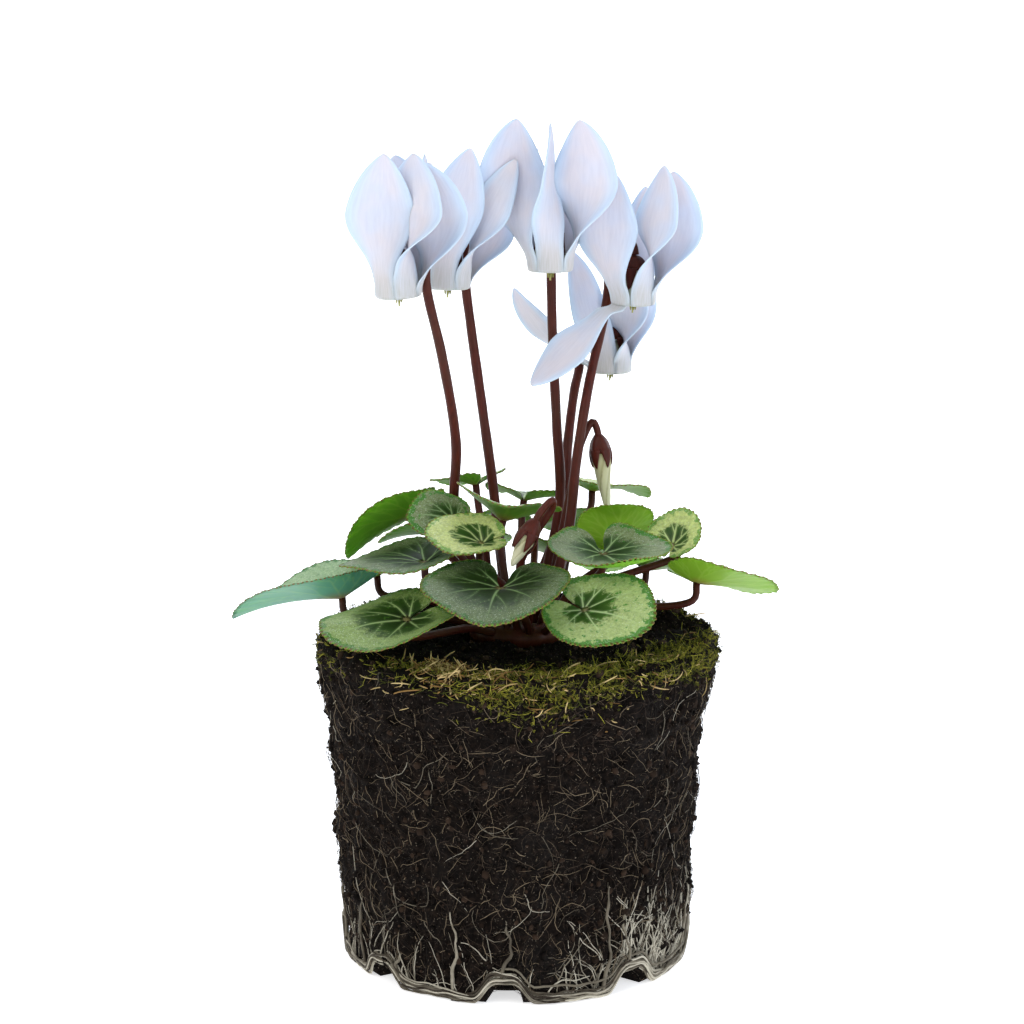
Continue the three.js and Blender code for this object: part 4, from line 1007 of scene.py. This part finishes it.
bloom = {
    "thickness": 0.42, "across": 24, "along": 52, "baseHalfWidth": 3.3, "widening": (0.14, 0.58),
    "root": (-0.5, 0.2), "hollow": (-0.3, 0.14), "twistSpan": (0.04, 0.62), "tipAt": 0.9985,
    "mouthRadius": 5.1, "tubeHeight": 8.2, "spread": 37,
    "throat": [(2.5, 7.2), (3.2, 5.2), (3.75, 3.2), (4.15, 1.5), (4.4, 0.35)],
    "lip": [(4.6, -0.2), (4.85, -0.42), (5.1, -0.3), (5.25, 0.1)],
    "droopingLip": [(4.55, -0.25), (4.75, -0.6), (5.0, -0.95)],
}
hook = [(8.2, 1), (8.6, 9.5), (6.8, 13.6), (3.6, 14.9), (0.9, 13.6), (0, 11.2)]
calyx = {
    "radius": 3, "height": 2.8, "steps": 16, "sides": 40,
    "lobes": 5, "lobeLength": 5.2, "lobeThickness": 0.35,
}
flowerStem = {"baseRadius": 1.3, "topRadius": 1.1, "steps": 120, "sides": 16}
flowers = [  # mouth, lean, angle of the hook, stem, and petals: azimuth, length, half width,
    # angle from the axis where it leaves the mouth and at its tip, sway and twist
    {
        "mouth": (-27.2, -22, 165.4), "lean": (-0.06, -0.05), "hook": 40,
        "stem": [(-4.2, -2.6), (-7, -2.8, 90), (-14.6, -2.5, 109), (-14.4, -6, 128), (-17.5, -13, 150)],
        "petals": [(-132, 33, 8, 8, -9, 6, -50), (-62, 32.5, 8.6, 9, -8, 8, -122),
                   (-2, 31, 8.2, 30, -22, -2, -84), (58, 31.5, 7.4, 18, -6, 8, -30),
                   (150, 30, 6.5, 6, -8, 0, -80)],
    },
    {
        "mouth": (-16.3, -4, 165.4), "lean": (0.02, 0), "hook": 60,
        "stem": [(-3, 3.4), (-5.2, 4.5, 112), (-8, 4.5, 133.5), (-11, 3.8, 155.5)],
        "petals": [(-103, 33.5, 6.8, 6, -2, 13, -28), (-34, 32.5, 5, 12, 24, 14, -104),
                   (38, 25, 7, 42, -10, 0, -50), (112, 31, 7, 16, -6, 8, -60),
                   (178, 29, 6.4, 14, -14, 0, -80)],
    },
    {
        "mouth": (8.1, -2, 169.3), "lean": (0, 0), "hook": 88,
        "stem": [(3.2, 3.4), (10.6, 6, 111), (9.9, 6.6, 130), (8.8, 6.6, 152)],
        "petals": [(-92, 34.5, 7.4, 8, 0, 0, -80), (-18, 35.5, 8, 20, -12, 0, -98),
                   (54, 35, 7.4, 28, 0, 0, -60), (118, 28, 7, 14, -6, 0, -60),
                   (-162, 36, 8.4, 24, -12, 0, -74)],
    },
    {
        "mouth": (28.2, 7, 160.5), "lean": (0.03, -0.04), "hook": 136,
        "stem": [(4.8, -2.6), (12.6, -3.2, 106), (14.4, -2, 122), (17.4, 3, 140)],
        "petals": [(-62, 33.5, 6.6, 12, -4, 6, -108), (-4, 32, 7.4, 22, -8, 0, -84),
                   (70, 27, 6.4, 8, 0, 0, -60), (-138, 32, 7.4, 30.5, -20, 0, -46),
                   (-150, 30, 5.8, 132, 126, 0, 24)],
    },
    {
        "mouth": (23.5, 28, 141), "lean": (0, 0), "hook": 156,
        "stem": [(0.2, 5.6), (11.4, 11, 108), (12.8, 17, 124), (14.6, 26, 136)],
        "petals": [(-46, 27, 6, 10, -8, -4, -120), (20, 28, 5.8, 10, -2, 0, -80),
                   (98, 28, 6.6, 8, 0, -6, -60), (176, 28.5, 5.4, 64, 24, 0, -40),
                   (-108, 31, 5.4, 8, 0, -18, -56)],
    },
]


def petalMaterial():
    # white petal: thin wet tissue that light passes through, lavender in the middle, painted sky-blue light
    # where it shines through the thin edges, cream grey at its foot, and fine veins along it,
    # drawn 0.65 mm apart so that they show
    petal, tree = newMaterial("cyclamen petal")
    share, side, rim = (addNode(tree, "Attribute", {"attribute_name": key}, {}).outputs["Fac"]
                        for key in ("share", "side", "rim"))
    place = addNode(tree, "TexCoord", {}, {}).outputs["Object"]
    cloud = addNode(tree, "TexNoise", {}, {"Vector": place, "Scale": 1 / (8 * mm), "Detail": 2})
    strip = addNode(tree, "CombineXYZ", {}, {"X": side, "Y": share})
    drawnOut = addNode(tree, "Mapping", {}, {"Vector": strip, "Scale": (1, 0.6, 1)})
    acrossHalf = 11  # veins from the middle of a petal to its edge, which is about 7 mm
    veins = addNode(tree, "TexNoise", {}, {"Vector": drawnOut, "Scale": acrossHalf, "Detail": 3})
    tint = addNode(tree, "MapRange", {}, {0: cloud, 1: 0.35, 2: 0.65})
    colour = addNode(tree, "Mix", inColour, {0: tint, 6: "#c9cdda", 7: "#d0ccd2"})
    colour = layWashes(tree, colour, [
        # painted light: sky blue where light shines through the thin edges
        (rim, 0.45, 1, 0.8, "#bdd3e8", eased),
        (veins, 0.4, 0.75, 0.22, "#a9abbb", {}),
    ])
    foot = addNode(tree, "MapRange", eased, {0: share, 1: 0.32, 2: -0.02})
    streaks = addNode(tree, "Math", {"operation": "MULTIPLY"}, {0: foot, 1: veins})
    colour = addNode(tree, "Mix", inColour, {0: streaks, 6: colour, 7: "#aaa898"})
    colour = layWashes(tree, colour, [(share, -0.02, -0.12, 0.8, "#b9c09f", eased)])  # the throat
    bump = addNode(tree, "Bump", {}, {"Strength": 0.25, "Distance": 0.12 * mm, "Height": veins})
    giveSurface(tree, {
        "Base Color": colour, "Normal": bump, "Roughness": 0.5, "Specular IOR Level": 0.25,
        "Subsurface Weight": 0.4, "Subsurface Radius": (1.0, 1.0, 1.1), "Subsurface Scale": 0.9 * mm})
    return petal


def flowerAxes(flower):
    up = unit(np.array([*flower["lean"], 1.0]))
    across = unit(np.array([1.0, 0, 0]) - up * up[0])
    return across, np.cross(up, across), up


def petalHalfWidth(share, halfWidth):
    widest = bloom["widening"][1]
    grown = between(bloom["baseHalfWidth"], halfWidth, smoothstep(share, *bloom["widening"]))
    past = np.clip((share - widest) / (1 - widest), 0, 1)
    return np.where(share <= widest, grown, halfWidth * (1 - past ** 1.5) ** 0.72)


def petalSheet(flower, petal, phase):  # rows of points: out of the tube, over its lip and along the petal
    azimuth, length, halfWidth, leave, finish, sway, twist = petal
    east, north, up = flowerAxes(flower)
    mouth = np.array(flower["mouth"], float)
    turn = math.radians(azimuth)
    out = east * math.cos(turn) + north * math.sin(turn)
    side = np.cross(up, out)
    t = np.linspace(-1, 1, bloom["across"] + 1)
    spread = turn + t * math.radians(bloom["spread"])
    ray = np.cos(spread)[:, None] * east + np.sin(spread)[:, None] * north
    hangs = leave > 90
    tube = bloom["throat"] + (bloom["droopingLip"] if hangs else bloom["lip"])
    rows = [mouth + ray * radius + up * height for radius, height in tube]
    shares = [-0.02 * (len(tube) - i) for i in range(len(tube))]
    edgeRadius, edgeHeight = tube[-1]
    slant = math.radians(leave if hangs else min(leave, 60))
    flare = math.sin(slant) * (1 if hangs else 0.35)
    spine = mouth + out * (bloom["mouthRadius"] + bloom["root"][0]) + up * bloom["root"][1]
    stations = np.linspace(0, 1, bloom["along"]) ** 0.95
    stations[-1] = bloom["tipAt"]  # just short of the end, so that the tip keeps some width
    for i, share in enumerate(stations):
        back = stations[i - 1] if i else 0
        middle = (share + back) / 2
        slope = math.radians(leave + (finish - leave) * middle)
        lean = math.radians(sway) * smoothstep(middle, 0, 0.3)
        heading = up * math.cos(slope) + out * math.sin(slope)
        heading = heading * math.cos(lean) + side * math.sin(lean)
        spine = spine + heading * length * (share - back)
        normal = unit(np.cross(side, heading))
        flat = np.cross(heading, normal)
        roll = math.radians(twist) * smoothstep(share, *bloom["twistSpan"])
        level = flat * math.cos(roll) + normal * math.sin(roll)
        face = np.cross(level, heading)
        half = float(petalHalfWidth(share, halfWidth))
        hollow = between(*bloom["hollow"], share) * half * t ** 2
        wave = 0.35 * np.sin(7 * share + 2.2 * np.sign(t) + phase) * np.abs(t) ** 3
        wave = wave * smoothstep(share, 0.3, 0.6)
        keel = -0.22 * np.exp(-(t / 0.1) ** 2) * smoothstep(share, 0.15, 0.5) * (1 - share)
        sheet = spine + level * half * t[:, None] + face * (hollow + wave + keel)[:, None]
        join = float(smoothstep(share, 0, 0.16))  # out of the lip's curve into the petal's own
        run = share * length + 0.12
        lip = mouth + ray * (edgeRadius + flare * run) + up * (edgeHeight + math.cos(slant) * run)
        rows.append(lip + (sheet - lip) * join)
        shares.append(share)
    return np.array(rows), np.array(shares), t


def thickSheet(rows, thickness):  # a closed shell round a sheet of points, thinner along its edge
    count, wide = rows.shape[:2]
    normal = unit(np.cross(np.gradient(rows, axis=0), np.gradient(rows, axis=1)))
    edge = np.ones((count, wide))
    edge[:, 0] = edge[:, -1] = edge[0] = edge[-1] = 0.45
    shift = normal * (thickness / 2 * edge)[..., None]
    points = np.concatenate([(rows + shift).reshape(-1, 3), (rows - shift).reshape(-1, 3)])
    block = count * wide
    number = np.arange(block).reshape(count, wide)
    loop = np.concatenate([number[0], number[1:, -1], number[-1, -2::-1], number[-2:0:-1, 0]]).tolist()
    band = [[b, a, a + block, b + block] for a, b in zip(loop, loop[1:] + loop[:1])]
    lower = [face[::-1] for face in gridFaces(count, wide, False, block)]
    return points, gridFaces(count, wide, False) + lower + band


def makePetals(number, flower):
    points, faces, values = np.empty((0, 3)), [], {"share": [], "side": [], "rim": []}
    for k, petal in enumerate(flower["petals"]):
        rows, share, t = petalSheet(flower, petal, 1.7 * k + number)
        points, faces = joined(points, faces, *thickSheet(rows, bloom["thickness"]))
        along, across = np.meshgrid(share, t, indexing="ij")
        for key, data in (("share", along), ("side", across + 2.3 * k), ("rim", np.abs(across))):
            values[key] += [data.ravel()] * 2  # for the two faces of the sheet
    addPiece(f"flower{number}Petals", points, faces, [petalTissue], [f"flower_{number}_petals"],
             values={key: np.concatenate(data) for key, data in values.items()})


def inFlower(flower, points):
    return points @ np.array(flowerAxes(flower)) + np.array(flower["mouth"], float)


def tuberTop(footX, footY):  # where a stem leaves the tuber, from the tuber's middle
    x, y, z = tuber["centre"]
    reach = min(math.hypot(footX, footY) / tuber["radius"], 1)
    return x + footX, y + footY, z + tuber["halfHeight"] * math.sqrt(1 - reach ** 2) - 0.5


def addSepals(points, faces, place, offset, across, half, radius, height):  # pointed lobes round a calyx
    for k in range(calyx["lobes"]):
        turn = 2 * math.pi * (k + offset) / calyx["lobes"]
        spread = turn + np.linspace(-half, half, across, axis=-1)
        shell, lobe = thickSheet(polar(radius[:, None], spread, height[:, None]), calyx["lobeThickness"])
        points, faces = joined(points, faces, place(shell), lobe)
    return points, faces


def makeStem(number, flower):
    bearing = math.radians(flower["hook"])
    bends = inFlower(flower, np.array([(r * math.cos(bearing), r * math.sin(bearing), h) for r, h in hook]))
    line = curveThrough([tuberTop(*flower["stem"][0]), *flower["stem"][1:], *bends], flowerStem["steps"])
    share = np.linspace(0, 1, flowerStem["steps"])
    radii = between(flowerStem["baseRadius"], flowerStem["topRadius"], share)
    radii = radii * (1 + 0.02 * np.sin(31 * share + number) + 0.015 * np.sin(77 * share))
    low = bloom["tubeHeight"] - 0.2
    high = low + calyx["height"]
    cup = smoothed([(0, low), (calyx["radius"] + 0.1, low), (calyx["radius"] * 0.88, low + 1.4),
                    (flowerStem["topRadius"] + 0.4, high), (0, high + 0.5)], calyx["steps"])
    shell, caps = turned(cup, calyx["sides"], lambda a, h: 1 + 0.05 * np.cos(5 * a))
    points, faces = joined(*tubes([line], [radii], flowerStem["sides"]), inFlower(flower, shell), caps)
    s = np.linspace(0, 1, 9)  # the sepals lie back on the tube
    points, faces = addSepals(
        points, faces, lambda shell: inFlower(flower, shell), 0.5, 7, 0.5 * (1 - s) ** 0.7 * (1 - 0.25 * s),
        calyx["radius"] + 0.35 + 0.9 * s ** 2, low + 0.4 - calyx["lobeLength"] * s)
    addPiece(f"flower{number}Stem", points, faces, [stem], [f"flower_{number}_stalk"])


anthers = {
    "count": 5, "ring": 0.75, "length": 6.2, "radius": 0.46, "reach": -2.1, "steps": 9, "sides": 8,
    "styleRadius": 0.22, "styleTop": 6, "styleLength": 8.8, "tones": (0.5, 0.7, 0.4, 0.65, 0.55, 0.9),
}


def makeAnthers(number, flower):  # five pointed anthers round the style, just past the mouth
    share = np.linspace(0, 1, anthers["steps"])
    height = between(anthers["length"], anthers["reach"], share)
    lines = [polar(anthers["ring"] * (1.1 - 0.25 * share), 2 * math.pi * k / anthers["count"], height)
             for k in range(anthers["count"])]
    lines.append(polar(0, 0, anthers["styleTop"] - anthers["styleLength"] * share))
    radii = [anthers["radius"] * np.sqrt(np.clip(1.06 - share ** 3, 0.05, 1))] * anthers["count"]
    radii.append(np.full(anthers["steps"], anthers["styleRadius"]))
    points, faces = tubes(lines, radii, anthers["sides"])
    tones = np.repeat(anthers["tones"], anthers["steps"] * anthers["sides"])
    addPiece(f"flower{number}Anthers", inFlower(flower, points), faces, [pollen],
             values={"tone": tones})


petalTissue = petalMaterial()
pollen = strandMaterial("anther", "#454520", "#6f7034", "#a5a363", 0.6)
for number, flower in enumerate(flowers, 1):
    makePetals(number, flower)
    makeStem(number, flower)
    makeAnthers(number, flower)
print("flowers made:", len(flowers))


buds = [  # the ripe one that hangs straight down, then the young one that nods at the front
    {"stem": [(5.6, 0.8), (12.6, 2, 112), (16, 3.4, 127), (18.6, 3.8, 131.6), (19.8, 3.8, 129)],
     "calyx": (20, 3.8, 127.6), "aim": (0.13, 0, -1), "length": 15.5, "radius": 2.5, "cover": 0.24},
    {"stem": [(1.6, -4.6), (3.4, -7, 88), (4.2, -17, 95), (0.8, -24.5, 101.5), (4.6, -26, 110),
              (8.4, -27.4, 116.4), (8.3, -28.7, 118.2), (5.9, -29.6, 116)],
     "calyx": (4.2, -30, 113.2), "aim": (-0.46, -0.2, -0.86), "length": 7.5, "radius": 2.4, "cover": 0.5},
]
budStem = {"baseRadius": 1.05, "topRadius": 0.85, "steps": 100, "sides": 14, "cupDepth": 3.7, "cupSteps": 18}
furl = {"petals": 5, "twist": 2.4, "sides": 60, "rings": 40}


def budMaterial():
    # furled petals: greenish cream, with painted shade along the spiral folds between them
    furled, tree = newMaterial("furled bud petal")
    share, fold = (addNode(tree, "Attribute", {"attribute_name": key}, {}).outputs["Fac"]
                   for key in ("share", "fold"))
    colour = addNode(tree, "Mix", inColour, {0: share, 6: "#b4b184", 7: "#d8d8ba"})
    # painted shade in the grooves of the spiral folds
    colour = layWashes(tree, colour, [(fold, 0.35, 0, 0.65, "#8a8450", {})])
    giveSurface(tree, {"Base Color": colour, "Roughness": 0.5, "Subsurface Weight": 0.3,
                       "Subsurface Radius": (1, 1, 0.7), "Subsurface Scale": 1 * mm})
    return furled


def makeBud(number, bud):
    line = curveThrough([tuberTop(*bud["stem"][0]), *bud["stem"][1:], bud["calyx"]], budStem["steps"])
    radii = np.linspace(budStem["baseRadius"], budStem["topRadius"], budStem["steps"])
    spin = np.array(Vector(bud["aim"]).normalized().to_track_quat("Z", "Y").to_matrix())
    depth, radius = budStem["cupDepth"], bud["radius"]

    def inBud(points):
        return points @ spin.T + np.array(bud["calyx"])

    cup = smoothed([(0, -1.2), (0.95, -0.8), (radius * 0.9, 1.4), (radius, depth - 0.4),
                    (radius * 0.8, depth), (0, depth)], budStem["cupSteps"])
    shell, caps = turned(cup, calyx["sides"], lambda a, h: 1 + 0.06 * np.cos(5 * a) * (h > 0))
    points, faces = joined(*tubes([line], [radii], budStem["sides"]), inBud(shell), caps)
    s = np.linspace(0, 1, 10)  # the sepals clasp the furled petals
    points, faces = addSepals(
        points, faces, inBud, 0, 9, 0.62 * (1 - s) ** 0.75,
        radius * (1.0 + 0.12 * np.sin(math.pi * s) - 0.12 * s),
        depth - 1.2 + (bud["length"] * bud["cover"] + 1.2) * s)
    addPiece(f"bud{number}Stem", points, faces, [stem], [f"bud_{number}_stalk"])
    sides, rings = furl["sides"], furl["rings"]
    angle = 2 * np.pi * np.arange(sides) / sides
    profile = smoothed([(radius * 0.8, 0), (radius * 0.86, 0.12), (radius * 0.68, 0.4), (radius * 0.5, 0.65),
                        (radius * 0.28, 0.9), (0.12, 1)], rings)
    points, shares, folds = [], [], []
    for r, s in profile:
        fold = np.mod(furl["petals"] * (angle - furl["twist"] * s) / (2 * np.pi), 1)
        bulge = 0.9 + 0.2 * np.sqrt(fold) * (1 - 0.5 * s)
        points.append(polar(r * bulge, angle, depth + gap - 0.6 + s * (bud["length"] + 0.5)))
        shares.append(np.full(sides, s))
        folds.append(fold)
    faces = gridFaces(rings, sides, True)
    faces += [list(range(sides - 1, -1, -1)), list(range((rings - 1) * sides, rings * sides))]
    addPiece(f"bud{number}Petals", inBud(np.concatenate(points)), faces, [furledPetal],
             [f"bud_{number}_petals"], values={"share": shares, "fold": folds})


furledPetal = budMaterial()
for number, bud in enumerate(buds, 1):
    makeBud(number, bud)
print("buds made:", len(buds))
